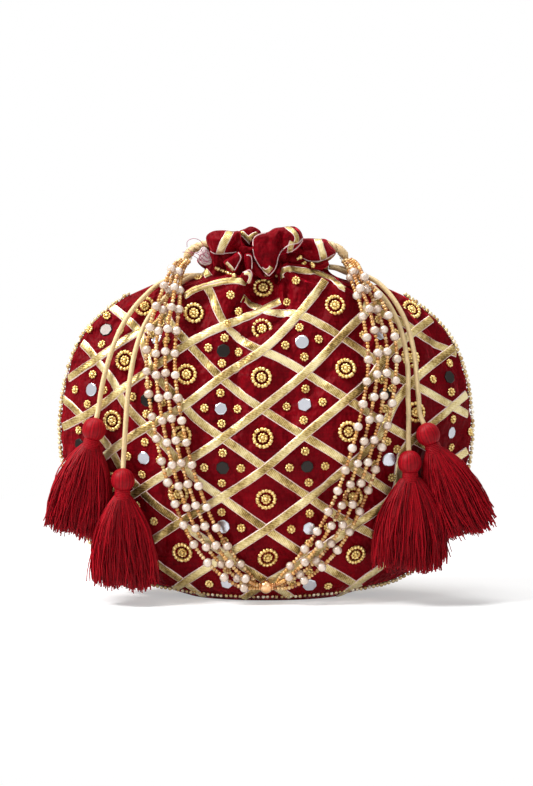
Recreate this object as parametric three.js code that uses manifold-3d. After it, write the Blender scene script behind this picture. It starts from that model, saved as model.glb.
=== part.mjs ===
import * as THREE from "three";
import { mergeVertices } from "three/addons/utils/BufferGeometryUtils.js";
import Module from "manifold-3d";

// Potli bag, drawn shut and standing, in millimetres.
// X runs across the bag to the right, Y runs from front to back, Z is up.
// The origin is the middle of the flat underside that the bag stands on.

// Driving dimensions
const bagHalfWidth = 122;
const bagHalfDepth = 46;
const bodyHeight = 190;
const clothThickness = 1.6;
const liningThickness = 0.8;
const neckHalfWidth = 36;
const neckHalfDepth = 19;
const throatHalfWidth = 7.5;
const throatHalfDepth = 5.5;
const ruffleHeight = 31;
const ruffleFlare = 4.5;
const ruffleLobes = 7;
const gap = 0.3;

const pipingRadius = 1.4;
const cordRadius = 1.5;
const drawstringHalfWidth = 23;
const drawstringHalfDepth = 12.3;
const drawstringHeights = [bodyHeight + 2.2, bodyHeight + 7.4];
const channelRadius = cordRadius + 3 * gap;
const channelToSeam = 0.25;
const drawstringEndSpread = channelRadius + gap / 2 + channelToSeam;

const loopRadius = 2.4;
const loopHeight = bodyHeight + 16;
const loopInnerEnd = neckHalfWidth - 6;
const loopOuterEnd = neckHalfWidth + 7;
const wrapRadius = 3.6;
const wrapLength = 6.4;

const pearlRadius = 2.6;
const seedBeadRadius = 0.95;
const threadRadius = 0.5;
const pearlPitch = 13.3;
const strandSpacing = 5.6;
const ballRadius = 4;
const ballBoreRadius = 2.1;
const ballHeight = 10.6;

const medallionRadius = 6.5;
const medallionHeight = 1.7;

// Room that the sewn trim takes up under whatever lies on the front of the bag
const trimHeight = medallionHeight + 2 * gap;

const tasselHeadRadius = 6.9;
const tasselBindingRadius = 4.4;
const tasselBindingLength = 4.5;
const tasselSkirtLength = 56;
const tasselSkirtRadius = 14.5;
const tasselStandoff = 2.2;

// The places of the seam beads, medallions and strings were measured on a bag of this size,
// and they spread and shrink with the real one; the strings keep their places across, as the cords do
const measuredHalfWidth = 122;
const measuredHalfDepth = 46;
const measuredHeight = 190;
const spreadX = bagHalfWidth / measuredHalfWidth;
const spreadY = bagHalfDepth / measuredHalfDepth;
const spreadZ = bodyHeight / measuredHeight;

// Shape of the stuffed body, level by level: share of the height, share of the half width,
// share of the half depth, and the two exponents of the level's lens-shaped section
const bodyLevels = [
  [0, 0.377, 0.52, 2, 0.55],
  [0.021, 0.49, 0.615, 2.1, 0.6],
  [0.053, 0.65, 0.7, 2.2, 0.68],
  [0.116, 0.795, 0.783, 2.3, 0.76],
  [0.19, 0.868, 0.86, 2.4, 0.8],
  [0.295, 0.938, 0.935, 2.4, 0.8],
  [0.416, 0.984, 0.99, 2.4, 0.8],
  [0.537, 1, 1, 2.4, 0.8],
  [0.684, 0.971, 0.935, 2.4, 0.8],
  [0.795, 0.91, 0.815, 2.3, 0.78],
  [0.874, 0.807, 0.7, 2.2, 0.75],
  [0.937, 0.68, 0.587, 2.1, 0.68],
  [0.974, 0.549, 0.511, 2.05, 0.6],
];

const colours = {
  silk: 0x9b1028,
  lining: 0x6d1020,
  gold: 0xc9a85a,
  cord: 0xe0c998,
  pearl: 0xe2d2c6,
  tassel: 0x7d0a18,
};

function material(colour, roughness, metalness = 0) {
  return new THREE.MeshStandardMaterial({ color: colour, roughness, metalness });
}

const silk = material(colours.silk, 0.6);
const liningCloth = material(colours.lining, 0.8);
const gold = material(colours.gold, 0.35, 0.9);
const satin = material(colours.cord, 0.5);
const pearl = material(colours.pearl, 0.25);
const tasselThread = material(colours.tassel, 0.8);

const bag = new THREE.Group();

function add(name, geometry, look) {
  const mesh = new THREE.Mesh(geometry, look);
  mesh.name = name;
  bag.add(mesh);
  return mesh;
}

// Smooth value between the rows of a table whose first column is the position
function between(table, position, column) {
  const last = table.length - 1;
  let row = 0;
  while (row < last - 1 && position > table[row + 1][0]) row += 1;
  const [x0, x1] = [table[row][0], table[row + 1][0]];
  const [y0, y1] = [table[row][column], table[row + 1][column]];
  const before = table[Math.max(row - 1, 0)];
  const after = table[Math.min(row + 2, last)];
  const slope0 = (y1 - before[column]) / (x1 - before[0]);
  const slope1 = (after[column] - y0) / (after[0] - x0);
  const span = x1 - x0;
  const t = Math.min(Math.max((position - x0) / span, 0), 1);
  const t2 = t * t;
  const t3 = t2 * t;
  return (2 * t3 - 3 * t2 + 1) * y0 + (t3 - 2 * t2 + t) * span * slope0
    + (3 * t2 - 2 * t3) * y1 + (t3 - t2) * span * slope1;
}

// How far the front of the body stands out at a place, and how steep the cloth is there
function frontDepth(x, z) {
  const share = Math.min(Math.max(z / bodyHeight, 0), bodyLevels[bodyLevels.length - 1][0]);
  const halfWidth = between(bodyLevels, share, 1) * bagHalfWidth;
  const halfDepth = between(bodyLevels, share, 2) * bagHalfDepth;
  const across = Math.min(Math.abs(x) / halfWidth, 1);
  const power = between(bodyLevels, share, 3);
  const exponent = between(bodyLevels, share, 4);
  return halfDepth * (1 - across ** power) ** exponent;
}

function frontNormal(x, z) {
  const step = 1.5;
  const slopeX = (frontDepth(x + step, z) - frontDepth(x - step, z)) / (2 * step);
  const slopeZ = (frontDepth(x, z + step) - frontDepth(x, z - step)) / (2 * step);
  return new THREE.Vector3(-slopeX, -1, -slopeZ).normalize();
}

// A point that rests in front of the cloth, a given distance off it
function layOnFront(x, z, standoff) {
  const normal = frontNormal(x, z);
  const steepest = 0.45;
  return new THREE.Vector3(x, -frontDepth(x, z) - standoff / Math.max(-normal.y, steepest), z);
}

// Closed body from a stack of rings that all have the same number of points
function skinRings(rings) {
  const count = rings[0].length;
  const positions = [];
  const faces = [];
  for (const ring of rings) {
    for (const point of ring) positions.push(point.x, point.y, point.z);
  }
  for (let level = 0; level < rings.length - 1; level += 1) {
    for (let i = 0; i < count; i += 1) {
      const a = level * count + i;
      const b = level * count + (i + 1) % count;
      faces.push(a, b, b + count, a, b + count, a + count);
    }
  }
  const capEnd = (level, flip) => {
    const centre = new THREE.Vector3();
    for (const point of rings[level]) centre.addScaledVector(point, 1 / count);
    const middle = positions.length / 3;
    positions.push(centre.x, centre.y, centre.z);
    for (let i = 0; i < count; i += 1) {
      const a = level * count + i;
      const b = level * count + (i + 1) % count;
      if (flip) faces.push(middle, b, a);
      else faces.push(middle, a, b);
    }
  };
  capEnd(0, true);
  capEnd(rings.length - 1, false);
  const geometry = new THREE.BufferGeometry();
  geometry.setAttribute("position", new THREE.Float32BufferAttribute(positions, 3));
  geometry.setIndex(faces);
  return geometry;
}

const ringPoints = 32;

// One level of the body, shrunk towards the body's middle to make the inside of a layer
function bodyRing(level, inset) {
  const [heightShare, widthShare, depthShare, power, exponent] = level;
  const middle = bodyHeight / 2;
  const height = middle + (heightShare * bodyHeight - middle) * (1 - inset / middle);
  const halfWidth = widthShare * (bagHalfWidth - 2 * inset);
  const halfDepth = depthShare * (bagHalfDepth - 1.05 * inset);
  const ring = [];
  for (let i = 0; i < ringPoints; i += 1) {
    const angle = 2 * Math.PI * i / ringPoints;
    const across = Math.cos(angle);
    const out = Math.max(1 - Math.abs(across) ** power, 0) ** exponent;
    ring.push(new THREE.Vector3(halfWidth * across, Math.sign(Math.sin(angle)) * halfDepth * out, height));
  }
  ring[0].y = 0;
  ring[ringPoints / 2].y = 0;
  return ring;
}

// An oval level of the neck or the ruffle, waved in and out and up and down by its lobes
function neckRing(height, halfWidth, halfDepth, wave = 0, rise = 0) {
  const ring = [];
  for (let i = 0; i < ringPoints; i += 1) {
    const angle = 2 * Math.PI * i / ringPoints;
    const lobe = Math.cos(ruffleLobes * (angle - Math.PI / 2));
    const scale = 1 + wave * lobe;
    const x = halfWidth * scale * Math.cos(angle);
    const y = halfDepth * scale * Math.sin(angle);
    ring.push(new THREE.Vector3(x, y, height + rise * lobe));
  }
  return ring;
}

function ruffleRings() {
  const wide = neckHalfWidth + ruffleFlare;
  const deep = neckHalfDepth + ruffleFlare;
  const top = bodyHeight + ruffleHeight;
  return [
    neckRing(bodyHeight - 0.5, neckHalfWidth + 2.5, neckHalfDepth + 1.5),
    neckRing(bodyHeight + 5, neckHalfWidth, neckHalfDepth, 0.02),
    neckRing(bodyHeight + 11, neckHalfWidth + 1.5, neckHalfDepth + 1, 0.04),
    neckRing(bodyHeight + 19, wide, deep, 0.06, 0.5),
    neckRing(top - 5, wide - 0.5, deep - 0.5, 0.09, 1),
    neckRing(top - 1.5, wide - 5, deep - 4, 0.1, 1.5),
    neckRing(top - 3.5, wide - 13, deep - 9, 0.1, 1.5),
    neckRing(top - 11, 17, 10.5, 0.06, 0.5),
    neckRing(bodyHeight + 10, throatHalfWidth + 0.5, throatHalfDepth + 0.5),
    neckRing(bodyHeight - 3.4, throatHalfWidth, throatHalfDepth),
  ];
}

const wasm = await Module();
wasm.setup();

function toSolid(geometry) {
  const bare = geometry.clone();
  for (const name of Object.keys(bare.attributes)) {
    if (name !== "position") bare.deleteAttribute(name);
  }
  const merged = mergeVertices(bare, 1e-4);
  return new wasm.Manifold(new wasm.Mesh({
    numProp: 3,
    vertProperties: new Float32Array(merged.attributes.position.array),
    triVerts: new Uint32Array(merged.index.array),
  }));
}

function toGeometry(solid) {
  const mesh = solid.getMesh();
  const geometry = new THREE.BufferGeometry();
  geometry.setAttribute("position", new THREE.BufferAttribute(new Float32Array(mesh.vertProperties), 3));
  geometry.setIndex(new THREE.BufferAttribute(new Uint32Array(mesh.triVerts), 1));
  return geometry;
}

// Round bar along a curve
function tubeAlong(points, radius, sides, steps) {
  const outline = [];
  for (let i = 0; i < sides; i += 1) {
    const angle = 2 * Math.PI * i / sides;
    outline.push(new THREE.Vector2(radius * Math.cos(angle), radius * Math.sin(angle)));
  }
  const path = new THREE.CatmullRomCurve3(points);
  const settings = { steps, bevelEnabled: false, extrudePath: path };
  return new THREE.ExtrudeGeometry(new THREE.Shape(outline), settings);
}

function barAlongX(radius, from, to, height, sides = 14) {
  const bar = new THREE.CylinderGeometry(radius, radius, Math.abs(to - from), sides);
  bar.rotateZ(Math.PI / 2);
  bar.rotateX(Math.PI / sides);
  bar.translate((from + to) / 2, 0, height);
  return bar;
}

function block(x0, x1, y0, y1, z0, z1) {
  const box = new THREE.BoxGeometry(x1 - x0, y1 - y0, z1 - z0);
  box.translate((x0 + x1) / 2, (y0 + y1) / 2, (z0 + z1) / 2);
  return toSolid(box);
}

// Cloth body: outside up to the ruffle's rim, down the throat, and back down the inside
const innerLevels = bodyLevels.slice().reverse();
const clothBody = toSolid(skinRings([
  ...bodyLevels.map((level) => bodyRing(level, 0)),
  ...ruffleRings(),
  ...innerLevels.map((level) => bodyRing(level, clothThickness)),
]));

// The drawstrings run round the neck inside the channel and leave it at one side each
function drawstringLoop(side, height, reach) {
  const points = [
    new THREE.Vector3(side * reach, -drawstringEndSpread, height),
    new THREE.Vector3(side * (neckHalfWidth - 5), -drawstringEndSpread, height),
  ];
  const turns = 14;
  const opening = 0.34;
  for (let i = 0; i <= turns; i += 1) {
    const angle = -Math.PI + opening + (2 * Math.PI - 2 * opening) * i / turns;
    const x = -side * drawstringHalfWidth * Math.cos(angle);
    const y = drawstringHalfDepth * Math.sin(angle);
    points.push(new THREE.Vector3(x, y, height));
  }
  points.push(new THREE.Vector3(side * (neckHalfWidth - 5), drawstringEndSpread, height));
  points.push(new THREE.Vector3(side * reach, drawstringEndSpread, height));
  return points;
}

const drawstringSides = [-1, 1];
const drawstringEnd = neckHalfWidth + 1.2;
let clothWithHoles = clothBody;
drawstringSides.forEach((side, i) => {
  const channel = drawstringLoop(side, drawstringHeights[i], bagHalfWidth);
  clothWithHoles = clothWithHoles.subtract(toSolid(tubeAlong(channel, channelRadius, 8, 60)));
  const holeStart = side * (loopInnerEnd - gap);
  const loopHole = barAlongX(loopRadius + 2 * gap, holeStart, side * bagHalfWidth, loopHeight);
  clothWithHoles = clothWithHoles.subtract(toSolid(loopHole));
});

// The panels part at the side seams; the seam rolls forward under the bag,
// so the whole underside belongs to the back panel
const far = 2 * bagHalfWidth;
const undersideTop = clothThickness + 0.1;
const frontRegion = block(-far, far, -far, -gap / 2, undersideTop + gap, 2 * far);
const notBackRegion = block(-far, far, -far, gap / 2, undersideTop, 2 * far);
add("front_panel", toGeometry(clothWithHoles.intersect(frontRegion)), silk);
add("back_panel", toGeometry(clothWithHoles.subtract(notBackRegion)), silk);

// Lining: a second bag inside the first, open at its top under the neck
const liningOuter = clothThickness + 0.6;
const liningInner = liningOuter + liningThickness;
add("lining", skinRings([
  ...bodyLevels.map((level) => bodyRing(level, liningOuter)),
  ...innerLevels.map((level) => bodyRing(level, liningInner)),
]), liningCloth);

drawstringSides.forEach((side, i) => {
  const name = side < 0 ? "drawstring_left" : "drawstring_right";
  const points = drawstringLoop(side, drawstringHeights[i], drawstringEnd);
  add(name, tubeAlong(points, cordRadius, 8, 40), satin);
});

// String of gold beads along the seam, from shoulder to shoulder round the bottom
const pipingHalf = [
  [82.5, 0, 181.5], [93, 0, 174], [103, 0, 165], [110.8, 0, 155.6], [116, 0, 144.5], [120.8, 0, 130],
  [123.2, 0, 113], [124.2, 0, 98], [123, 0, 82], [119.5, 0, 66], [114, 0, 49], [108, 0, 35.5],
  [101.5, -0.5, 24], [93.5, -1.6, 14], [83, -4.2, 8.2], [71, -10.6, 4.4], [57, -18.2, 2.3],
  [40, -24.4, 1.9], [20, -28.6, 1.9],
];
const seamStandoff = pipingRadius + 2 * gap;
function seamPoint(x, y, z) {
  const outside = Math.sign(x) * seamStandoff;
  return new THREE.Vector3((x - outside) * spreadX + outside, y * spreadY, z * spreadZ);
}
const pipingRoute = [
  ...pipingHalf.map(([x, y, z]) => seamPoint(-x, y, z)),
  seamPoint(0, -29.8, 1.9),
  ...pipingHalf.slice().reverse().map(([x, y, z]) => seamPoint(x, y, z)),
];
add("seam_beads", tubeAlong(pipingRoute, pipingRadius, 6, 60), gold);

// Handle: short loops in the side seams carry the thread wraps, and the wraps carry the strings
const wrapMiddle = loopOuterEnd + gap + wrapLength / 2;
for (const side of [-1, 1]) {
  const word = side < 0 ? "left" : "right";
  const loop = barAlongX(loopRadius, side * loopInnerEnd, side * loopOuterEnd, loopHeight, 12);
  add(`handle_loop_${word}`, loop, satin);
  const half = wrapLength / 2;
  const profile = [[0, -half], [2, -half], [wrapRadius, -1.4], [wrapRadius, 1.4], [2, half], [0, half]];
  const wrap = new THREE.LatheGeometry(profile.map(([r, y]) => new THREE.Vector2(r, y)), 14);
  wrap.rotateZ(Math.PI / 2);
  wrap.translate(side * wrapMiddle, 0, loopHeight);
  add(`handle_wrap_${word}`, wrap, satin);
}

const ballPlace = new THREE.Vector3(0, -frontDepth(0, ballHeight) - ballRadius - 2, ballHeight);
const ballProfile = [[ballBoreRadius, -3.4]];
for (const angle of [-45, -22, 0, 22, 45]) {
  const radians = THREE.MathUtils.degToRad(angle);
  ballProfile.push([ballRadius * Math.cos(radians), ballRadius * Math.sin(radians)]);
}
ballProfile.push([ballBoreRadius, 3.4], [ballBoreRadius, -3.4]);
const ball = new THREE.LatheGeometry(ballProfile.map(([r, y]) => new THREE.Vector2(r, y)), 12);
ball.rotateZ(Math.PI / 2);
ball.translate(ballPlace.x, ballPlace.y, ballPlace.z);
add("handle_ball", ball, gold);

// Middle of the four strings on each side, from the wrap down to the ball:
// place across, height, space between strings as a share, how far alternate strings stand forward,
// and how many cord radii further forward all of them are where a drawstring passes behind
const strandMiddleLeft = [
  [-56.4, 180, 0.7, 4.4, 2], [-59.4, 167, 0.9, 3.4, 2],
  [-61.6, 151, 1, 0, 0], [-61.2, 134, 1, 0, 0], [-58.8, 116, 1, 0, 0], [-55.3, 98, 1, 0, 0],
  [-51, 80.5, 1, 0, 0], [-45.4, 63.5, 1, 0, 0], [-39.4, 48.5, 1, 0, 0], [-31.5, 34.5, 0.95, 2, 0],
  [-21, 22, 0.75, 4.4, 0], [-12, 14.4, 0.52, 4.6, 0],
];
const strandMiddleRight = [
  [60.5, 180, 0.7, 4.4, 2 / 3], [65, 167, 0.9, 3.4, 0],
  [68.2, 151, 1, 0, 0], [67.6, 134, 1, 0, 0], [64.6, 116, 1, 0, 0], [60.3, 98, 1, 0, 0],
  [55.2, 80.5, 1, 0, 0], [49, 63.5, 1, 0, 0], [42, 48.5, 1, 0, 0], [33, 34.5, 0.95, 2, 0],
  [21.6, 22, 0.75, 4.4, 0], [12, 14.4, 0.52, 4.6, 0],
];
const strandCount = 4;

// Where the strings bend forward over the shoulder, from the middle of the wrap: out, forward, down,
// share and step; the second point goes only half as far as a wider neck carries the wrap
const measuredWrapMiddle = 46.5;
const wrapCarry = (wrapMiddle - measuredWrapMiddle) / 2;
const strandShoulder = [
  [4.7, -10.5, -7.4, 0.45, 1.8],
  [7.9 - wrapCarry, -19, -15.4, 0.6, 4.4],
];

function strandSide(middle, side, strand) {
  const place = strand - (strandCount - 1) / 2;
  const forward = strand % 2;
  const wrapStart = wrapRadius + gap + threadRadius;
  const spread = wrapLength / strandCount;
  const points = [new THREE.Vector3(
    side * (wrapMiddle + place * spread), -wrapStart * Math.SQRT1_2, loopHeight - wrapStart * Math.SQRT1_2,
  )];
  for (const [x, y, z, share, step] of strandShoulder) {
    const lean = Math.SQRT1_2 * place * share * strandSpacing;
    points.push(new THREE.Vector3(
      side * (wrapMiddle + x + lean), y * spreadY - forward * step, loopHeight + z + lean * 0.5,
    ));
  }
  middle.forEach(([x, z, share, step, further], i) => {
    const before = middle[Math.max(i - 1, 0)];
    const after = middle[Math.min(i + 1, middle.length - 1)];
    const along = new THREE.Vector2(after[0] - before[0], after[1] - before[1]).normalize();
    const offset = place * share * strandSpacing;
    const px = x - side * along.y * offset;
    const pz = z * spreadZ + side * along.x * offset;
    const point = layOnFront(px, pz, trimHeight + pearlRadius + gap);
    point.y -= forward * step + further * cordRadius;
    points.push(point);
  });
  return points;
}

function strandRoute(strand) {
  const left = strandSide(strandMiddleLeft, -1, strand);
  const right = strandSide(strandMiddleRight, 1, strand).reverse();
  const inBore = 0.9;
  const dy = strand % 2 ? -inBore : inBore;
  const dz = strand < 2 ? inBore : -inBore;
  const ballEnd = ballRadius + 1;
  const middle = [-ballEnd, 0, ballEnd].map((x) => new THREE.Vector3(
    x, ballPlace.y + dy, ballPlace.z + dz,
  ));
  return new THREE.CatmullRomCurve3([...left, ...middle, ...right], false, "centripetal");
}

// Sweep with a radius that changes along the curve, kept square to the curve
function sweep(curve, stations, sides) {
  const total = curve.getLength();
  const rings = [];
  let up = new THREE.Vector3(0, -1, 0);
  for (const [distance, radius] of stations) {
    const share = Math.min(Math.max(distance / total, 0), 1);
    const centre = curve.getPointAt(share);
    const along = curve.getTangentAt(share);
    up = up.clone().addScaledVector(along, -up.dot(along)).normalize();
    const across = new THREE.Vector3().crossVectors(along, up);
    const ring = [];
    for (let i = 0; i < sides; i += 1) {
      const angle = 2 * Math.PI * i / sides;
      ring.push(centre.clone()
        .addScaledVector(up, radius * Math.cos(angle))
        .addScaledVector(across, radius * Math.sin(angle)));
    }
    rings.push(ring);
  }
  return skinRings(rings);
}

// Stations of one string: thread at both ends and in the ball, pearls at an even pitch between
function strandStations(curve) {
  curve.arcLengthDivisions = 800;
  const total = curve.getLength();
  let ballDistance = 0;
  let best = Infinity;
  for (let i = 0; i <= 400; i += 1) {
    const away = curve.getPointAt(i / 400).distanceTo(ballPlace);
    if (away < best) {
      best = away;
      ballDistance = total * i / 400;
    }
  }
  const bare = 18;
  const firstPearl = 16.5;
  const pearls = [];
  for (let d = ballDistance - firstPearl; d > bare; d -= pearlPitch) pearls.push(d);
  pearls.reverse();
  for (let d = ballDistance + firstPearl; d < total - bare; d += pearlPitch) pearls.push(d);
  const stations = [[0, threadRadius], [5, threadRadius]];
  let ballDone = false;
  for (const d of pearls) {
    if (d > ballDistance && !ballDone) {
      const half = ballRadius + 0.8;
      stations.push([ballDistance - half, threadRadius], [ballDistance, threadRadius]);
      stations.push([ballDistance + half, threadRadius]);
      ballDone = true;
    }
    stations.push([d - pearlRadius, seedBeadRadius], [d, pearlRadius], [d + pearlRadius, seedBeadRadius]);
  }
  stations.push([total - 5, threadRadius], [total, threadRadius]);
  return stations;
}

for (let strand = 0; strand < strandCount; strand += 1) {
  const curve = strandRoute(strand);
  add(`pearl_string_${strand + 1}`, sweep(curve, strandStations(curve), 6), pearl);
}

// Free ends of the drawstrings: they carry on from the drawstrings' ends, go over the shoulder by
// points measured outwards from the neck and up from the drawstring, and then lie on the front
const cordLift = trimHeight + cordRadius + gap;
const cordOutset = drawstringEnd + 0.4;
const cordEnds = [
  {
    word: "left_outer",
    side: -1,
    start: [[5, 2.8, 0], [12, 1.4, -0.2], [20, -1.6, -1.8], [27.6, -6.4, -4.6]],
    lying: [
      [-71, 181.6], [-77.6, 174.6], [-83.2, 166.6], [-87.4, 158.6], [-90.6, 150.4],
      [-93.4, 141.6], [-95.8, 132.6], [-97.6, 123.6], [-98.8, 115.4],
    ],
    lean: [-0.2, -0.98],
  },
  {
    word: "left_inner",
    side: -1,
    start: [[5, -3, 0], [9.8, -5.8, -1], [14.2, -11, -3.6]],
    lying: [
      [-54.8, 184], [-61.2, 178.6], [-66.6, 172.4], [-71.2, 164.8], [-74.6, 156.6], [-77.2, 148],
      [-79, 138.6], [-80.4, 129.6], [-81.4, 120.2], [-82.2, 110.6], [-82.8, 101], [-83.4, 92], [-83.8, 86.6],
    ],
    lean: [-0.02, -1],
  },
  {
    word: "right_outer",
    side: 1,
    start: [[5, 2.8, -0.2], [12, 1.4, -1.6], [21, -1.4, -4.4], [29.4, -6.4, -8.2]],
    lying: [
      [73.2, 182], [79.2, 173], [83.6, 163.2], [86.4, 152.6], [88, 142.2],
      [88.8, 131.8], [89.8, 122], [90.6, 112.2],
    ],
    lean: [0.36, -0.93],
  },
  {
    word: "right_inner",
    side: 1,
    start: [[5, -2.9, -0.4], [11, -4, -2.8], [18, -7.4, -5.8], [25, -11.6, -9.8]],
    lying: [
      [68.4, 181.4], [74.6, 172.6], [79, 162.8], [81.6, 153], [83, 143.6], [83.6, 134],
      [83.4, 124.4], [83.8, 114.4], [83.8, 104.8], [83.6, 97.2],
    ],
    lean: [0.05, -1],
  },
];

const tasselSides = 10;

function tasselSkirt() {
  const profile = [
    [0, -tasselSkirtLength], [tasselSkirtRadius, -tasselSkirtLength], [12.6, -38], [10.8, -20],
    [8.2, -6], [tasselBindingRadius - 0.4, 0], [0, 0],
  ];
  return profile.map(([r, z]) => new THREE.Vector2(r, z));
}

// Turned piece whose axis is Z at first, leaned in the front plane and moved to its place
function turned(profile, segments, place, direction) {
  const piece = new THREE.LatheGeometry(profile, segments);
  piece.rotateX(Math.PI / 2);
  const [dx, dz] = direction;
  piece.rotateY(Math.atan2(-dx, -dz));
  piece.translate(place.x, place.y, place.z);
  return piece;
}

for (const { word, side, start, lying, lean } of cordEnds) {
  const lyingPoints = lying.map(([x, z]) => layOnFront(x, z, cordLift));
  const last = lyingPoints[lyingPoints.length - 1];
  const leanUnit = new THREE.Vector3(lean[0], 0, lean[1]).normalize();
  const [endX, endZ] = lying[lying.length - 1];
  const head = new THREE.Vector3(endX, 0, endZ)
    .addScaledVector(leanUnit, tasselHeadRadius + 6);
  head.y = layOnFront(head.x, head.z, tasselHeadRadius + tasselStandoff).y;
  const cordStop = head.clone().sub(last).normalize().multiplyScalar(-(tasselHeadRadius + gap)).add(head);
  const drawstringHeight = drawstringHeights[drawstringSides.indexOf(side)];
  const fromChannel = Math.sign(start[0][1]) * drawstringEndSpread;
  const leaving = new THREE.Vector3(side * cordOutset, fromChannel, drawstringHeight);
  const overShoulder = start.map(([out, y, up]) => (
    new THREE.Vector3(side * (neckHalfWidth + out), y, drawstringHeight + up)
  ));
  const points = [leaving, ...overShoulder, ...lyingPoints, cordStop];
  add(`cord_${word}`, tubeAlong(points, cordRadius, 8, 24), satin);

  const headShape = [];
  for (let i = 0; i <= 6; i += 1) {
    const angle = -Math.PI / 2 + Math.PI * i / 6;
    const [r, z] = [tasselHeadRadius * Math.cos(angle), tasselHeadRadius * Math.sin(angle)];
    headShape.push(new THREE.Vector2(r, z));
  }
  headShape[0].x = 0;
  headShape[6].x = 0;
  add(`tassel_head_${word}`, turned(headShape, tasselSides, head, lean), tasselThread);
  const bindingTop = head.clone().addScaledVector(leanUnit, tasselHeadRadius + gap);
  const bindingShape = [
    [0, -tasselBindingLength], [tasselBindingRadius, -tasselBindingLength], [tasselBindingRadius, 0], [0, 0],
  ].map(([r, z]) => new THREE.Vector2(r, z));
  add(`tassel_binding_${word}`, turned(bindingShape, tasselSides, bindingTop, lean), tasselThread);
  const skirtTop = bindingTop.clone().addScaledVector(leanUnit, tasselBindingLength + gap);
  add(`tassel_skirt_${word}`, turned(tasselSkirt(), tasselSides, skirtTop, lean), tasselThread);
}

// Medallions sewn to the front, one in every second diamond of the lattice
const medallionShape = [
  [0, 0], [medallionRadius, 0], [medallionRadius - 0.4, medallionHeight], [3.4, 0.7], [0, medallionHeight],
].map(([r, z]) => new THREE.Vector2(r, z));
const frontMesh = bag.children[0];
frontMesh.geometry.computeBoundingSphere();
frontMesh.updateMatrixWorld(true);

// Distance that the cloth stands out along the normal at a place
function seatHeight(place, normal) {
  const caster = new THREE.Raycaster(place.clone().addScaledVector(normal, 30), normal.clone().negate());
  const hit = caster.intersectObject(frontMesh)[0];
  return hit ? 30 - hit.distance : 0;
}

function addMedallion(name, x, z) {
  const normal = frontNormal(x, z);
  const centre = new THREE.Vector3(x, -frontDepth(x, z), z);
  const sideways = new THREE.Vector3(0, 0, 1).cross(normal).normalize();
  const upward = normal.clone().cross(sideways);
  let highest = seatHeight(centre, normal);
  for (let i = 0; i < 8; i += 1) {
    const angle = Math.PI * i / 4;
    const rim = centre.clone()
      .addScaledVector(sideways, medallionRadius * Math.cos(angle))
      .addScaledVector(upward, medallionRadius * Math.sin(angle));
    highest = Math.max(highest, seatHeight(rim, normal));
  }
  const piece = new THREE.LatheGeometry(medallionShape, 8);
  const turn = new THREE.Quaternion().setFromUnitVectors(new THREE.Vector3(0, 1, 0), normal);
  piece.applyQuaternion(turn);
  centre.addScaledVector(normal, highest + gap);
  piece.translate(centre.x, centre.y, centre.z);
  add(name, piece, gold);
}

// Places across and up, read from the photograph: the middle column, then two columns on each side
const medallionPlaces = [
  [1, 28], [0, 63], [-2, 99.5], [-3, 134.5], [-3, 162.5],
  [-49, 30.5], [-51.5, 66], [-49, 100.5], [-46.5, 136], [-43.5, 173],
  [52.5, 29], [51, 64], [48, 103], [46.5, 139.5], [41, 174],
  [-91.5, 71], [-90.5, 107.5], [-83, 143], [85, 78], [88, 113], [85, 144.5],
];
medallionPlaces.forEach(([x, z], i) => addMedallion(`medallion_${i + 1}`, x * spreadX, z * spreadZ));

export default bag;
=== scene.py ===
import math
import random

import bpy
import numpy as np
from mathutils import Matrix, Vector
from mathutils.bvhtree import BVHTree
from mathutils.geometry import delaunay_2d_cdt


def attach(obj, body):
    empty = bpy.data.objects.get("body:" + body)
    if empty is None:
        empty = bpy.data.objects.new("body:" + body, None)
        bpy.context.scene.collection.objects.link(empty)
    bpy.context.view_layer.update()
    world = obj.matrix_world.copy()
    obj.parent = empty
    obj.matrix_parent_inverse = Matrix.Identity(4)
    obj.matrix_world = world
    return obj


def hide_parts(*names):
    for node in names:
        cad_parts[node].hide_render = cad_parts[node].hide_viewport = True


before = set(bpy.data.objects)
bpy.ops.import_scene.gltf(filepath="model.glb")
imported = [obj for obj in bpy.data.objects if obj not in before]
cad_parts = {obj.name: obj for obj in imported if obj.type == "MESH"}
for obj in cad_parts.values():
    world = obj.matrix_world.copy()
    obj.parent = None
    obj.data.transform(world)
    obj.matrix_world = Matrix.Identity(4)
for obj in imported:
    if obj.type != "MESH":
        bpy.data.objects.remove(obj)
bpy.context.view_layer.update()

MM = 0.001
TURN = 2 * math.pi

# Camera at the photograph's viewing angle
PIXEL = 0.6 * MM
CAMERA_DISTANCE = 1.6
ELEVATION = math.radians(5)
PHOTO_MIDDLE = (266.5, 393.0)
FLOOR_ROW = 596.0
PHOTO_HEIGHT = 786
SENSOR_WIDTH = 36

scene = bpy.context.scene
target = Vector((0.0003, 0, (FLOOR_ROW - PHOTO_MIDDLE[1]) * PIXEL))
camera_data = bpy.data.cameras.new("camera")
camera_data.sensor_width = SENSOR_WIDTH
camera_data.lens = SENSOR_WIDTH * CAMERA_DISTANCE / (PHOTO_HEIGHT * PIXEL)
camera = bpy.data.objects.new("camera", camera_data)
camera.location = target + CAMERA_DISTANCE * Vector((0, -math.cos(ELEVATION), math.sin(ELEVATION)))
camera.rotation_euler = (math.pi / 2 - ELEVATION, 0, 0)
scene.collection.objects.link(camera)
scene.camera = camera
camera_turn = Matrix.Rotation(math.pi / 2 - ELEVATION, 3, "X")


def pixel_ray(px, py):
    """Direction from the camera through a pixel of the photograph."""
    x = (px - PHOTO_MIDDLE[0]) * PIXEL / CAMERA_DISTANCE
    y = -(py - PHOTO_MIDDLE[1]) * PIXEL / CAMERA_DISTANCE
    return (camera_turn @ Vector((x, y, -1))).normalized()


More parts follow.
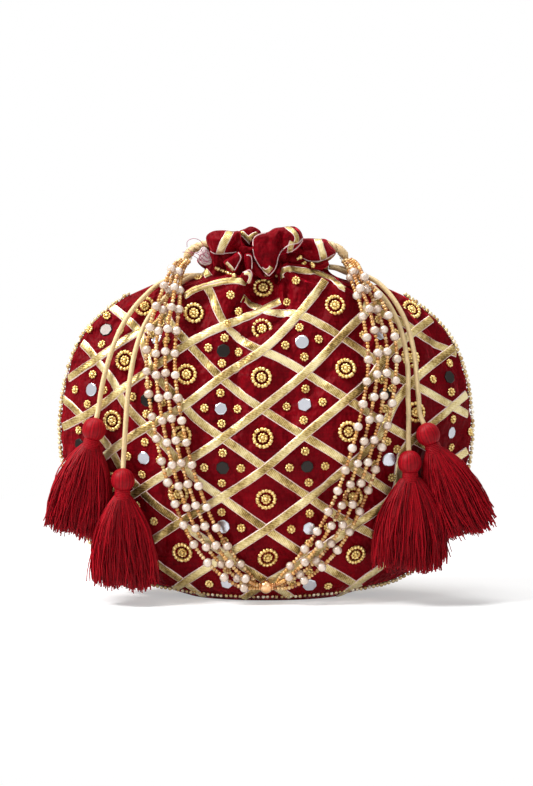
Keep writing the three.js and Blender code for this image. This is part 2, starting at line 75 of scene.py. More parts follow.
def pixel_on_plane(px, py, y):
    """The point seen at a pixel that lies at depth y, in metres."""
    ray = pixel_ray(px, py)
    return camera.location + ray * ((y - camera.location.y) / ray.y)


def to_pixel(points):
    """Pixels at which the camera sees the points."""
    local = (np.asarray(points) - np.array(camera.location)) @ np.array(camera_turn)
    scale = CAMERA_DISTANCE / PIXEL / -local[..., 2]
    return PHOTO_MIDDLE[0] + local[..., 0] * scale, PHOTO_MIDDLE[1] - local[..., 1] * scale


# Node materials
def linear(rgb):
    """Shader colour of an 8-bit one."""
    return tuple((c / 255 / 12.92 if c <= 10 else ((c / 255 + 0.055) / 1.055) ** 2.4) for c in rgb) + (1,)


class Nodes:
    """Short way to build the node tree of a material or a world."""

    def __init__(self, owner):
        owner.use_nodes = True
        self.owner, self.tree = owner, owner.node_tree

    def add(self, kind, inputs=None, **settings):
        node = self.tree.nodes.new("ShaderNode" + kind)
        for key, value in settings.items():
            setattr(node, key, value)
        for key, value in (inputs or {}).items():
            self.feed(node.inputs[key], value)
        return node

    def feed(self, socket, value):
        if isinstance(value, bpy.types.NodeSocket):
            self.tree.links.new(value, socket)
        else:
            socket.default_value = value

    def set(self, **values):
        shader = self.tree.nodes["Principled BSDF"]
        for key, value in values.items():
            self.feed(shader.inputs[key.replace("_", " ")], value)

    def math(self, operation, a, b=0.0):
        return self.add("Math", {0: a, 1: b}, operation=operation).outputs[0]

    def weigh(self, *terms):
        """Sum of values, each times its weight."""
        total = None
        for value, weight in terms:
            term = value if weight == 1 else self.math("MULTIPLY", value, weight)
            total = term if total is None else self.math("ADD", total, term)
        return total

    def ramp(self, factor, stops):
        node = self.add("ValToRGB", {"Fac": factor})
        elements = node.color_ramp.elements
        elements[0].position, elements[0].color = stops[0][0], linear(stops[0][1])
        elements[1].position, elements[1].color = stops[-1][0], linear(stops[-1][1])
        for position, colour in stops[1:-1]:
            elements.new(position).color = linear(colour)
        return node.outputs["Color"]

    def noise(self, scale, detail=2.0, roughness=0.5, stretch=(1, 1, 1)):
        """Noise over the coordinates of the object."""
        place = self.add("TexCoord").outputs["Object"]
        place = self.add("Mapping", {"Vector": place, "Scale": stretch}).outputs["Vector"]
        inputs = {"Vector": place, "Scale": scale, "Detail": detail, "Roughness": roughness}
        return self.add("TexNoise", inputs).outputs["Fac"]

    def tone(self):
        return self.add("Attribute", attribute_name="tone").outputs["Fac"]

    def strip_place(self):
        """Place along and across a ribbon, or along and round a cord."""
        split = self.add("SeparateXYZ", {"Vector": self.add("UVMap", uv_map="strip").outputs["UV"]})
        return split.outputs["X"], split.outputs["Y"]

    def bump(self, height, distance, strength, normal=None):
        inputs = {"Height": height, "Distance": distance, "Strength": strength}
        if normal is not None:
            inputs["Normal"] = normal
        return self.add("Bump", inputs).outputs["Normal"]

    def shows(self):
        """1 where the camera looks, straight, in a mirror or through glass, and 0 for other light."""
        rays = self.add("LightPath").outputs
        indirect = self.math("MAXIMUM", rays["Is Glossy Ray"], rays["Is Transmission Ray"])
        return self.math("MAXIMUM", rays["Is Camera Ray"], indirect)


def new_material(name):
    return Nodes(bpy.data.materials.new(name))


def silk_material(name, lit, deep):
    """Dupion silk: fine plain weave with long slubs across, and a soft sheen."""
    n = new_material(name)
    slubs = n.noise(1.0, 2.0, stretch=(60, 60, 900))
    warp = n.noise(1.0, 1.0, stretch=(1400, 1400, 240))
    patches = n.noise(28.0, 3.0)
    rumple = n.noise(1.0, 3.0, 0.55, (62, 62, 44))
    colour = n.ramp(n.weigh((slubs, 0.3), (patches, 0.45), (warp, 0.25)), [(0.3, deep), (0.68, lit)])
    weave = n.bump(n.weigh((slubs, 0.6), (warp, 0.4)), 0.00022, 0.5)
    n.set(Base_Color=colour, Roughness=0.5, Normal=n.bump(rumple, 0.016, 0.75, weave), Specular_IOR_Level=0.04,
          Sheen_Weight=0.7, Sheen_Tint=linear((244, 34, 60)), Sheen_Roughness=0.3)
    return n.owner


def gold_material(name, bright, dark, roughness, scale=900):
    """Plated beads: bright metal with small dark reflections."""
    n = new_material(name)
    colour = n.ramp(n.noise(scale, 1.0), [(0.36, dark), (0.6, bright)])
    n.set(Base_Color=colour, Metallic=0.9, Roughness=roughness)
    return n.owner


def ribbon_material(name):
    """Woven foil ribbon: fine slanted hatch, patches of dark reflection and two pale edge threads."""
    n = new_material(name)
    along, across = n.strip_place()
    hatch = n.math("SINE", n.weigh((along, 26.0), (across, 30.0)))
    patches = n.noise(46.0, 2.0, 0.6)
    fine = n.math("SUBTRACT", n.noise(620.0, 1.0), 0.5)
    foil = n.ramp(n.weigh((patches, 1), (fine, 0.35), (hatch, 0.06)), [
        (0.3, (92, 70, 30)), (0.39, (150, 120, 62)), (0.49, (192, 168, 106)), (0.68, (230, 214, 164))])
    edge = n.math("GREATER_THAN", n.math("ABSOLUTE", n.math("SUBTRACT", across, 0.5)), 0.405)
    mix = n.add("Mix", data_type="RGBA")
    for key, value in (("Factor", edge), ("A", foil), ("B", linear((228, 204, 196)))):
        n.feed(mix.inputs[key], value)
    metal = n.math("MULTIPLY", n.math("SUBTRACT", 1.0, edge), 0.72)
    n.set(Base_Color=mix.outputs["Result"], Metallic=metal, Roughness=0.36, Normal=n.bump(hatch, 0.00006, 0.6))
    return n.owner


def thread_material(name, lit, deep, sheen, turns=None, sheen_weight=0.3, specular=0.4):
    """Satin thread or cord. With turns, fine ribs wind round the strand at that many per strip length."""
    n = new_material(name)
    grain = n.noise(700.0)
    colour = n.ramp(n.weigh((n.tone(), 0.65), (grain, 0.35)), [(0.22, deep), (0.75, lit)])
    height = grain
    if turns:
        along, around = n.strip_place()
        rib = n.math("SINE", n.weigh((along, turns), (around, TURN)))
        height = n.weigh((rib, 0.5), (grain, 0.3))
    n.set(Base_Color=colour, Roughness=0.5, Specular_IOR_Level=specular, Normal=n.bump(height, 0.00015, 0.6),
          Sheen_Weight=sheen_weight, Sheen_Tint=linear(sheen), Sheen_Roughness=0.35)
    return n.owner


def bead_material(name, stops, metallic, roughness, coat):
    """Beads whose tone attribute picks their colour."""
    n = new_material(name)
    grain = n.math("SUBTRACT", n.noise(900.0, 1.0), 0.5)
    colour = n.ramp(n.weigh((n.tone(), 1), (grain, 0.25)), stops)
    n.set(Base_Color=colour, Metallic=metallic, Roughness=roughness, Coat_Weight=coat, Coat_Roughness=0.08)
    return n.owner


def mirror_material(name, colour):
    """Small mirror with a slight ripple."""
    n = new_material(name)
    n.set(Base_Color=linear(colour), Metallic=1.0, Roughness=0.24, Normal=n.bump(n.noise(160.0, 1.0), 0.0004, 0.4))
    return n.owner


SILK = silk_material("silk", (126, 3, 16), (74, 1, 8))
LINING = silk_material("lining_cloth", (100, 8, 18), (70, 4, 10))
RIBBON = ribbon_material("ribbon_foil")
GOLD = gold_material("gold_beads", (244, 220, 150), (186, 146, 76), 0.3)
BRIGHT_GOLD = gold_material("gold_ball", (240, 196, 150), (214, 160, 108), 0.16, 300)
PEARL = bead_material("pearls", [(0.1, (200, 176, 156)), (0.9, (222, 204, 188))], 0.3, 0.24, 1.0)
SEED = bead_material("seed_beads", [
    (0.0, (146, 86, 28)), (0.35, (194, 134, 58)), (0.7, (216, 164, 88)), (1.0, (230, 198, 144))], 0.2, 0.2, 0.7)
SEAM_BEADS = bead_material("seam_beads", [
    (0.0, (168, 130, 70)), (0.4, (214, 186, 128)), (0.8, (232, 214, 176)), (1.0, (244, 234, 214))], 0.45, 0.22, 0.5)
CORD = thread_material("satin_cord", (236, 212, 164), (198, 166, 112), (255, 240, 210), 34.0)
CREAM = thread_material("cream_thread", (232, 208, 164), (184, 150, 98), (255, 240, 210))
# The deep end of the tassel thread colour gives darker strands at random, and it is also the painted shade of the skirt
# cores.
TASSEL = thread_material("tassel_thread", (172, 8, 26), (92, 2, 9), (200, 30, 50), sheen_weight=0.05, specular=0.12)
PATCH = thread_material("patch_thread", (242, 236, 232), (204, 190, 186), (255, 250, 248))
LOOSE = thread_material("loose_thread", (170, 60, 96), (120, 30, 60), (230, 120, 150))
HEM = thread_material("hem_thread", (232, 206, 204), (196, 160, 156), (255, 230, 230))
PALE_MIRROR = mirror_material("pale_mirror", (196, 197, 204))
# Near-black metal colour: painted dark reflection, standing in for the dark surroundings that these mirrors reflect.
PAINTED_REFLECTION_MIRROR = mirror_material("mirror_painted_dark_reflection", (48, 44, 42))


# Mesh helpers
def mesh_object(name, vertices, faces, material, smooth=True, uv=None, tone=None):
    mesh = bpy.data.meshes.new(name)
    mesh.from_pydata([tuple(v) for v in vertices], [], faces)
    if smooth:
        mesh.shade_smooth()
    mesh.materials.append(material)
    if uv is not None:
        layer = mesh.uv_layers.new(name="strip")
        index = np.empty(len(mesh.loops), dtype=np.int32)
        mesh.loops.foreach_get("vertex_index", index)
        layer.uv.foreach_set("vector", np.asarray(uv, dtype=np.float32)[index].ravel())
    if tone is not None:
        layer = mesh.attributes.new("tone", "FLOAT", "POINT")
        layer.data.foreach_set("value", np.asarray(tone, dtype=np.float32))
    mesh.update()
    piece = bpy.data.objects.new(name, mesh)
    scene.collection.objects.link(piece)
    return piece


def ride(piece, body="bag", replaces=()):
    if replaces:
        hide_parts(*replaces)
    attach(piece, body)
    return piece


def grid_faces(rows, columns, base=0, turned=False, wrap=True):
    """Quads between rows of points; turned ones face the other way."""
    faces = []
    for j in range(rows - 1):
        low, high = base + j * columns, base + (j + 1) * columns
        for i in range(columns if wrap else columns - 1):
            k = (i + 1) % columns
            faces.append((low + i, high + i, high + k, low + k) if turned else (low + i, low + k, high + k, high + i))
    return faces


def end_faces(rows, columns, base=0):
    """Faces that close the first and the last row of a turned grid."""
    last = base + (rows - 1) * columns
    return [tuple(range(base, base + columns)), tuple(range(last + columns - 1, last - 1, -1))]


def unit_ball(segments, rings):
    """Vertices and faces of a ball of radius 1."""
    vertices = [(0, 0, -1)]
    for r in range(1, rings):
        polar = math.pi * r / rings - math.pi / 2
        for s in range(segments):
            angle = TURN * s / segments
            vertices.append((math.cos(polar) * math.cos(angle), math.cos(polar) * math.sin(angle), math.sin(polar)))
    vertices.append((0, 0, 1))
    last = len(vertices) - 1
    top = last - segments
    faces = grid_faces(rings - 1, segments, 1)
    for s in range(segments):
        t = (s + 1) % segments
        faces += [(0, 1 + t, 1 + s), (top + s, top + t, last)]
    return np.array(vertices), faces


SMALL, MIDDLE, PEARL_SHAPE, LARGE = (unit_ball(*size) for size in ((8, 5), (10, 6), (16, 10), (24, 14)))


class Cluster:
    """Many beads gathered into one mesh."""

    def __init__(self):
        self.vertices, self.faces, self.tones, self.count = [], [], [], 0

    def ball(self, centre, radius, tone=0.5, axes=None, squash=1.0, shape=SMALL):
        points = shape[0] * np.array([1, 1, squash])
        if axes is not None:
            points = points @ np.array(axes)
        self.vertices.append(points * radius + np.array(centre))
        self.faces.extend(tuple(i + self.count for i in face) for face in shape[1])
        self.tones.extend([tone] * len(points))
        self.count += len(points)

    def piece(self, name, material):
        return mesh_object(name, np.concatenate(self.vertices), self.faces, material, tone=self.tones)


def lengths_along(path):
    return np.concatenate([[0], np.cumsum(np.linalg.norm(np.diff(path, axis=0), axis=1))])


def unit_rows(vectors):
    return vectors / np.linalg.norm(vectors, axis=1)[:, None]


def relax(values):
    """Draws each inner point a little towards its neighbours."""
    values[1:-1] = (values[:-2] + values[1:-1] * 2 + values[2:]) / 4


def smooth_path(points, pitch):
    """Points an even distance apart on a smooth curve through the given ones, and its length."""
    points = np.asarray(points, dtype=float)
    padded = np.vstack([2 * points[0] - points[1], points, 2 * points[-1] - points[-2]])
    fine = []
    for i in range(len(points) - 1):
        corners = padded[i:i + 4]
        times = [0.0]
        for chord in np.diff(corners, axis=0):
            times.append(times[-1] + max(np.linalg.norm(chord), 1e-9) ** 0.5)
        for t in np.linspace(times[1], times[2], 24, endpoint=False):
            level = list(corners)
            for reach in (1, 2, 3):
                low, high = (times, times[reach:]) if reach < 3 else (times[1:], times[2:])
                level = [((high[k] - t) * level[k] + (t - low[k]) * level[k + 1]) / (high[k] - low[k])
                         for k in range(4 - reach)]
            fine.append(level[0])
    fine.append(points[-1])
    fine = np.array(fine)
    along = lengths_along(fine)
    places = np.linspace(0, along[-1], max(int(round(along[-1] / pitch)), 2) + 1)
    return np.stack([np.interp(places, along, fine[:, k]) for k in range(3)], axis=1), along[-1]


def frames_along(path, first_up=(0, -1, 0)):
    """Tangent, up and across at each point, with no sudden turns."""
    tangents = unit_rows(np.gradient(path, axis=0))
    up = np.array(first_up, dtype=float)
    ups = []
    for tangent in tangents:
        up = up - tangent * up.dot(tangent)
        up /= max(np.linalg.norm(up), 1e-9)
        ups.append(up)
    ups = np.array(ups)
    return tangents, ups, np.cross(tangents, ups)


def rings_round(path, radius, sides, ups, acrosses, flatness=1.0):
    """Rings of points round a path."""
    angles = np.linspace(0, TURN, sides, endpoint=False)[None, :, None]
    out = flatness * np.cos(angles) * ups[:, None] + np.sin(angles) * acrosses[:, None]
    return (path[:, None] + radius * out).reshape(-1, 3)


def tube(name, path, radius, material, sides=10, flatness=1.0, tone=0.5, first_up=(0, -1, 0)):
    """Round or flattened strand with closed ends; its strip coordinates count centimetres and turns."""
    path = np.asarray(path)
    _, ups, acrosses = frames_along(path, first_up)
    vertices = rings_round(path, radius, sides, ups, acrosses, flatness)
    rows = len(path)
    faces = grid_faces(rows, sides) + [face[::-1] for face in end_faces(rows, sides)]
    uv = np.stack([np.repeat(lengths_along(path) / (10 * MM), sides), np.tile(np.arange(sides) / sides, rows)], axis=1)
    return mesh_object(name, vertices, faces, material, uv=uv, tone=np.full(len(vertices), tone))


# The shape of the bag, as in the CAD: share of the height, half width, half depth, two exponents of the section
HALF_WIDTH, HALF_DEPTH, BODY_HEIGHT = 122.0, 46.0, 190.0
LEVELS = np.array([
    [0, 0.377, 0.52, 2, 0.55], [0.021, 0.49, 0.615, 2.1, 0.6], [0.053, 0.65, 0.7, 2.2, 0.68],
    [0.116, 0.795, 0.783, 2.3, 0.76], [0.19, 0.868, 0.86, 2.4, 0.8], [0.295, 0.938, 0.935, 2.4, 0.8],
    [0.416, 0.984, 0.99, 2.4, 0.8], [0.537, 1, 1, 2.4, 0.8], [0.684, 0.971, 0.935, 2.4, 0.8],
    [0.795, 0.91, 0.815, 2.3, 0.78], [0.874, 0.807, 0.7, 2.2, 0.75], [0.937, 0.68, 0.587, 2.1, 0.68],
    [0.974, 0.549, 0.511, 2.05, 0.6],
])


def between(table, position, column):
    """Smooth value between the rows of a table whose first column is the position."""
    position = np.asarray(position, dtype=float)
    last = len(table) - 1
    row = np.clip(np.searchsorted(table[:, 0], position, side="left") - 1, 0, last - 1)
    x0, x1 = table[row, 0], table[row + 1, 0]
    y0, y1 = table[row, column], table[row + 1, column]
    before, after = np.maximum(row - 1, 0), np.minimum(row + 2, last)
    slope0 = (y1 - table[before, column]) / (x1 - table[before, 0])
    slope1 = (table[after, column] - y0) / (table[after, 0] - x0)
    span = x1 - x0
    t = np.clip((position - x0) / span, 0, 1)
    return ((2 * t**3 - 3 * t**2 + 1) * y0 + (t**3 - 2 * t**2 + t) * span * slope0
            + (3 * t**2 - 2 * t**3) * y1 + (t**3 - t**2) * span * slope1)


def front_depth(x, z):
    """Depth of the front panel in the CAD."""
    share = np.clip(np.asarray(z) / BODY_HEIGHT, 0, LEVELS[-1, 0])
    half_width = between(LEVELS, share, 1) * HALF_WIDTH
    across = np.minimum(np.abs(x) / half_width, 1)
    return (between(LEVELS, share, 2) * HALF_DEPTH
            * (1 - across ** between(LEVELS, share, 3)) ** between(LEVELS, share, 4))


def front_normal(x, z):
    step = 1.5
    slope_x = (front_depth(x + step, z) - front_depth(x - step, z)) / (2 * step)
    slope_z = (front_depth(x, z + step) - front_depth(x, z - step)) / (2 * step)
    return Vector((-float(slope_x), -1, -float(slope_z))).normalized()


def lay_on_front(x, z, standoff):
    """Point a standoff in front of the panel, in millimetres."""
    normal = front_normal(x, z)
    return np.array([x, -float(front_depth(x, z)) - standoff / max(-normal.y, 0.45), z])


GAP = 0.3
MEDALLION_HEIGHT = 1.7
TRIM_HEIGHT = MEDALLION_HEIGHT + 2 * GAP
CORD_RADIUS = 1.5
HEAD_RADIUS = 6.9
TASSEL_STANDOFF = 2.2
BINDING_LENGTH = 4.5

# Free cords with tassels: points from the channel on, places (x, z) on the front, and the way the tassel hangs
CORD_ENDS = {
    "left_outer": (
        [(-37.6, 2.8, 192.2), (-41, 2.8, 192.2), (-48, 1.4, 192), (-56, -1.6, 190.4), (-63.6, -6.4, 187.6)],
        [(-71, 181.6), (-77.6, 174.6), (-83.2, 166.6), (-87.4, 158.6), (-90.6, 150.4),
         (-93.4, 141.6), (-95.8, 132.6), (-97.6, 123.6), (-98.8, 115.4)],
        (-0.2, -0.98)),
    "left_inner": (
        [(-37.6, -2.8, 192.2), (-41, -3, 192.2), (-45.8, -5.8, 191.2), (-50.2, -11, 188.6)],
        [(-54.8, 184), (-61.2, 178.6), (-66.6, 172.4), (-71.2, 164.8), (-74.6, 156.6), (-77.2, 148), (-79, 138.6),
         (-80.4, 129.6), (-81.4, 120.2), (-82.2, 110.6), (-82.8, 101), (-83.4, 92), (-83.8, 86.6)],
        (-0.02, -1)),
    "right_outer": (
        [(37.6, 2.8, 197.4), (41, 2.8, 197.2), (48, 1.4, 195.8), (57, -1.4, 193), (65.4, -6.4, 189.2)],
        [(73.2, 182), (79.2, 173), (83.6, 163.2), (86.4, 152.6), (88, 142.2), (88.8, 131.8), (89.8, 122),
         (90.6, 112.2)],
        (0.36, -0.93)),
    "right_inner": (
        [(37.6, -2.8, 197.4), (41, -2.9, 197), (47, -4, 194.6), (54, -7.4, 191.6), (61, -11.6, 187.6)],
        [(68.4, 181.4), (74.6, 172.6), (79, 162.8), (81.6, 153), (83, 143.6), (83.6, 134),
         (83.4, 124.4), (83.8, 114.4), (83.8, 104.8), (83.6, 97.2)],
        (0.05, -1)),
}

# Half width of each skirt at its foot and how far it drifts sideways
SKIRTS = {"left_outer": (18.0, 1.5), "left_inner": (18.6, 2.5), "right_outer": (17.5, 2.0), "right_inner": (21.5, -1.5)}
SKIRT_THICKNESS = 12.5
SKIRT_TOP = HEAD_RADIUS + BINDING_LENGTH * 0.5
SKIRT_LENGTH = 56.0 + BINDING_LENGTH * 0.5
STRANDS, OUTER_STRANDS, STRAND_SIDES, STRAND_STEPS = 700, 420, 3, 9


def tassel_head():
    """Threads wound from top to bottom over a core of radius 1."""
    columns, rows = 66, 15
    points, tones = [], []
    for j in range(rows + 1):
        polar = math.pi * j / rows
        for i in range(columns):
            angle = TURN * i / columns
            rib = 1 + (0.028 if i % 2 else -0.028) * math.sin(polar)
            stretch = 1.04 if polar < math.pi / 2 else 0.98
            radius = math.sin(polar) ** 0.9 * rib if 0 < j < rows else 0.12
            points.append((radius * math.cos(angle), radius * math.sin(angle), -math.cos(polar) * stretch))
            tones.append(0.5 + 0.4 * math.sin(i * 12.9898) * math.sin(i * 4.1))
    return np.array(points), grid_faces(rows + 1, columns, turned=True) + end_faces(rows + 1, columns), tones


def spread_at(t):
    """Share of a skirt's full width at t of its length."""
    return 0.25 + 0.75 * (1 - (1 - t) ** 2.6) - 0.04 * t ** 4


def tassel_skirt(word, wide, shift):
    """Loose threads over a core in the darkest thread tone, which is painted shade for the inside of the skirt."""
    here = random.Random("tassel" + word)
    t = np.arange(STRAND_STEPS + 1) / STRAND_STEPS
    points, faces, tones = [], [], []
    for s in range(STRANDS):
        angle = TURN * here.random()
        reach = here.random() ** 0.42
        if s < OUTER_STRANDS:
            reach = 0.84 + 0.22 * here.random()
        own_length = SKIRT_LENGTH * (0.9 + 0.04 * math.sin(3 * angle + len(word)) + 0.06 * here.random())
        own_length *= 1 - 0.13 * (reach * abs(math.cos(angle))) ** 3
        if here.random() < 0.14:
            own_length *= 0.86 + 0.18 * here.random()
        wave, phase, phase_b = here.uniform(0.5, 2.6), here.uniform(0, 6.28), here.uniform(0, 6.28)
        drift, bent = here.gauss(0, 0.13), here.gauss(0, 1.3)
        tone, radius = here.random(), here.uniform(0.3, 0.46)
        clump = 0.07 * math.sin(5 * angle + len(word)) + 0.04 * math.sin(13 * angle)
        out = spread_at(t) * (reach + clump * t)
        turn = angle + drift * t + 0.03 * wave * np.sin(5 * t + phase)
        sway = 0.5 * wave * t
        path = np.stack([
            wide * out * np.cos(turn) + shift * t * t + sway * np.sin(7.5 * t + phase) + bent * t ** 4,
            SKIRT_THICKNESS * out * np.sin(turn) + sway * np.sin(6.2 * t + phase_b),
            SKIRT_TOP + own_length * (t - 0.03 * t * t * (1 - np.cos(2 * turn)) * 0.5)], axis=1)
        _, ups, acrosses = frames_along(path, (math.cos(angle), math.sin(angle), 0))
        base = s * (STRAND_STEPS + 1) * STRAND_SIDES
        points.append(rings_round(path, radius, STRAND_SIDES, ups, acrosses))
        tones += [0.15 + 0.7 * tone] * len(points[-1])
        faces += grid_faces(STRAND_STEPS + 1, STRAND_SIDES, base)
        faces.append(tuple(base + STRAND_STEPS * STRAND_SIDES + k for k in range(STRAND_SIDES)))
    # The core takes tone 0, the deep end of the thread colour: painted shade where the threads hide the inside of the
    # skirt.
    columns, rows = 28, 12
    base = STRANDS * (STRAND_STEPS + 1) * STRAND_SIDES
    angles = TURN * np.arange(columns) / columns
    for j in range(rows + 1):
        t = j / rows
        out = spread_at(t) * 0.8
        points.append(np.stack([wide * out * np.cos(angles) + shift * t * t, SKIRT_THICKNESS * out * np.sin(angles),
                                np.full(columns, SKIRT_TOP + SKIRT_LENGTH * 0.86 * t)], axis=1))
        tones += [0.0] * columns
    faces += grid_faces(rows + 1, columns, base, turned=True) + end_faces(rows + 1, columns, base)
    return np.concatenate(points), faces, tones


def tassel(word, head, lean):
    """Head, binding and skirt of one tassel, hanging along lean; returns the two that its cord carries."""
    down = Vector((lean[0], 0, lean[1])).normalized()
    axes = np.array([Vector((-down.z, 0, down.x)), Vector((0, 1, 0)), down])
    body = f"tassel_{word}"
    points, faces, tones = tassel_head()
    head_piece = mesh_object(f"head_{word}", points * HEAD_RADIUS * MM @ axes + head, faces, TASSEL, tone=tones)
    ride(head_piece, body, [f"tassel_head_{word}"])

    turns = 7
    t = np.linspace(0, 1, turns * 20 + 1)
    radius = 4.0 + 0.35 * np.sin(math.pi * t)
    path = np.stack([radius * np.cos(TURN * turns * t), radius * np.sin(TURN * turns * t),
                     HEAD_RADIUS - 1.6 + (BINDING_LENGTH + 2.4) * t], axis=1)
    binding = tube(f"binding_{word}", path * MM @ axes + head, 0.55 * MM, TASSEL, 6, tone=0.62, first_up=tuple(down))
    ride(binding, body, [f"tassel_binding_{word}"])

    points, faces, tones = tassel_skirt(word, *SKIRTS[word])
    skirt = mesh_object(f"skirt_{word}", points * MM @ axes + head, faces, TASSEL, tone=tones)
    ride(skirt, body, [f"tassel_skirt_{word}"])
    return [head_piece, binding]


for word, (start, lying, lean) in CORD_ENDS.items():
    lying_points = [lay_on_front(x, z, TRIM_HEIGHT + CORD_RADIUS + GAP) for x, z in lying]
    down = np.array([lean[0], 0, lean[1]]) / math.hypot(*lean)
    head = np.array([lying[-1][0], 0, lying[-1][1]]) + down * (HEAD_RADIUS + 6)
    head[1] = lay_on_front(head[0], head[2], HEAD_RADIUS + TASSEL_STANDOFF)[1]
    away = lying_points[-1] - head
    stop = head + away / np.linalg.norm(away) * (HEAD_RADIUS - 1.2)
    path, length = smooth_path(np.array([*start, *lying_points, stop]) * MM, 1.6 * MM)
    cord = tube(f"cord_{word}_satin", path, CORD_RADIUS * MM, CORD, sides=12, flatness=0.86)
    ride(cord, "bag", [f"cord_{word}"])
    tassel(word, head * MM, lean)

# Cloth of the bag
COLUMNS = 384
wave_random = random.Random(11)


def waves(count, low, high, tilt=1.0):
    """A sum of seeded waves over (x, z), with wavelengths in millimetres; tilt below 1 stretches it along z."""
    table = []
    for _ in range(count):
        length = wave_random.uniform(low, high)
        angle = wave_random.uniform(0, math.pi)
        table.append((TURN / length * math.cos(angle), TURN / length * math.sin(angle) * tilt,
                      wave_random.uniform(0, 6.28)))
    return lambda x, z: sum(np.sin(a * x + b * z + c) for a, b, c in table) / math.sqrt(count)


soft_dents = waves(7, 48, 90)
creases = waves(9, 17, 34, 0.55)
back_dents = waves(7, 48, 90)
back_creases = waves(9, 17, 34, 0.55)
pinches = waves(5, 40, 75, 0.5)
back_pinches = waves(5, 40, 75, 0.5)

# Folds that the drawstring makes: where they lie round the neck, in turns, and how deep they are
PLEATS = 19
pleat_place = np.array([(i + wave_random.uniform(-0.28, 0.28)) / PLEATS for i in range(PLEATS)])
pleat_depth = np.array([wave_random.uniform(0.55, 1.25) for _ in range(PLEATS)])


def pleat_wave(turn):
    """From -1 in the folds to 1 on the ridges between them, round the neck."""
    turn = np.asarray(turn) % 1.0
    away = np.abs(turn[..., None] - pleat_place[None, :])
    away = np.minimum(away, 1 - away)
    fold = (pleat_depth * np.exp(-(away * PLEATS / 0.30) ** 2)).sum(axis=-1)
    return 0.45 - 1.45 * np.minimum(fold, 1.2)


def smooth_step(low, high, value):
    t = np.clip((value - low) / (high - low), 0, 1)
    return t * t * (3 - 2 * t)


ANGLES = np.linspace(0, TURN, COLUMNS, endpoint=False)
COS, SIN = np.cos(ANGLES), np.sin(ANGLES)
BOTTOM_SHARES = (0.12, 0.35, 0.6, 0.82, 0.93)


def body_ring(share, shrink=1.0):
    """Section of the body at a share of its height."""
    wide, deep, power, bulge = (between(LEVELS, share, k) for k in range(1, 5))
    out = np.maximum(1 - np.abs(COS) ** power, 0) ** bulge * np.sign(SIN)
    height = 0.25 * (1 - shrink) if shrink < 1 else share * BODY_HEIGHT
    return np.stack([wide * HALF_WIDTH * COS * shrink, deep * HALF_DEPTH * out * shrink,
                     np.full(COLUMNS, height)], axis=1)


def body_rows():
    """Rings of the cloth from the middle of the underside to the top of the body."""
    heights = [LEVELS[-1, 0] * (0.72 * t + 0.28 * t * t) for t in np.linspace(0, 1, 130)]
    return [body_ring(0, shrink) for shrink in BOTTOM_SHARES] + [body_ring(share) for share in heights]


# Neck and ruffle: path position, height, half width, half depth, fold depth, rise of the rim
NECK = np.array([
    [0, 185.1, 67.0, 23.5, 1.5, 0], [1, 188.4, 52.0, 21.6, 2.0, 0], [2, 191.4, 41.5, 20.0, 2.4, 0],
    [3, 194.6, 36.6, 18.4, 2.6, 0], [4, 197.6, 35.6, 17.6, 2.6, 0], [5, 200.6, 36.0, 17.8, 2.6, 0],
    [6, 203.6, 37.0, 18.2, 2.8, 0.2], [7, 206.4, 37.6, 18.6, 3.0, 0.5], [8, 208.6, 37.2, 18.4, 3.2, 0.9],
    [9, 209.8, 35.8, 17.4, 3.3, 1.0], [10, 209.6, 33.6, 16.0, 3.2, 1.0], [11, 207.6, 30.4, 14.2, 3.0, 0.8],
    [12, 204.4, 25.0, 12.2, 2.4, 0.4], [13, 200.4, 18.4, 9.6, 1.6, 0], [14, 196.0, 11.6, 7.4, 0.9, 0],
    [15, 191.0, 8.4, 6.0, 0.5, 0], [16, 186.6, 7.5, 5.5, 0.2, 0],
])


def neck_rows():
    """Rings of the neck and of the rim that turns in over it."""
    rings = []
    slow = np.sin(3 * ANGLES + 0.8) * 0.5 + np.sin(5 * ANGLES + 2.1) * 0.35
    for position in np.linspace(0, 16, 90)[1:]:
        z, wide, deep, fold, rise = (float(between(NECK, position, k)) for k in range(1, 6))
        lobe = pleat_wave(ANGLES / TURN + 0.0042 * (position - 4))
        radial = np.sqrt((wide * COS) ** 2 + (deep * SIN) ** 2)
        scale = 1 + fold * (lobe + 0.5 * slow) / np.maximum(radial, 6)
        rings.append(np.stack([wide * COS * scale, deep * SIN * scale, z + rise * (lobe * 0.8 + slow * 1.6)], axis=1))
    return rings


body = body_rows()
body_count = len(body)
rings = np.array(body + neck_rows())
grid_next = np.roll(rings, -1, axis=1)
grid_last = np.roll(rings, 1, axis=1)
row_up = np.concatenate([rings[1:], rings[-1:]])
row_down = np.concatenate([rings[:1], rings[:-1]])
normals = np.cross(grid_next - grid_last, row_up - row_down)
normals /= np.maximum(np.linalg.norm(normals, axis=2), 1e-9)[..., None]
x, y, z = np.moveaxis(rings[:body_count], 2, 0)
turn = np.broadcast_to(np.linspace(0, 1, COLUMNS, endpoint=False)[None, :], x.shape)
front = y < 0
rise_share = smooth_step(8, 30, z)
open_cloth = smooth_step(0, 0.25 * HALF_DEPTH, np.abs(y))
dents = np.where(front, soft_dents(x, z), back_dents(x, z)) * 1.25
fine = np.where(front, creases(x, z), back_creases(x, z)) * (0.42 + 0.4 * smooth_step(110, 185, z))
sharp = np.where(front, pinches(x, z), back_pinches(x, z))
fine -= 1.5 * np.exp(-(sharp / 0.22) ** 2)
gather = pleat_wave(turn) * 2.3 * smooth_step(128, 187, z) ** 1.6
height_on_body = (dents + fine) * rise_share * open_cloth * (1 - 0.6 * smooth_step(150, 186, z)) + gather * open_cloth
seam_pucker = np.sin(TURN * (z + 0.6 * np.abs(x)) / 11.0) * 0.35 * (1 - open_cloth) * smooth_step(10, 30, z)
side_share = np.abs(x) / np.maximum(np.abs(x).max(axis=1, keepdims=True), 1)
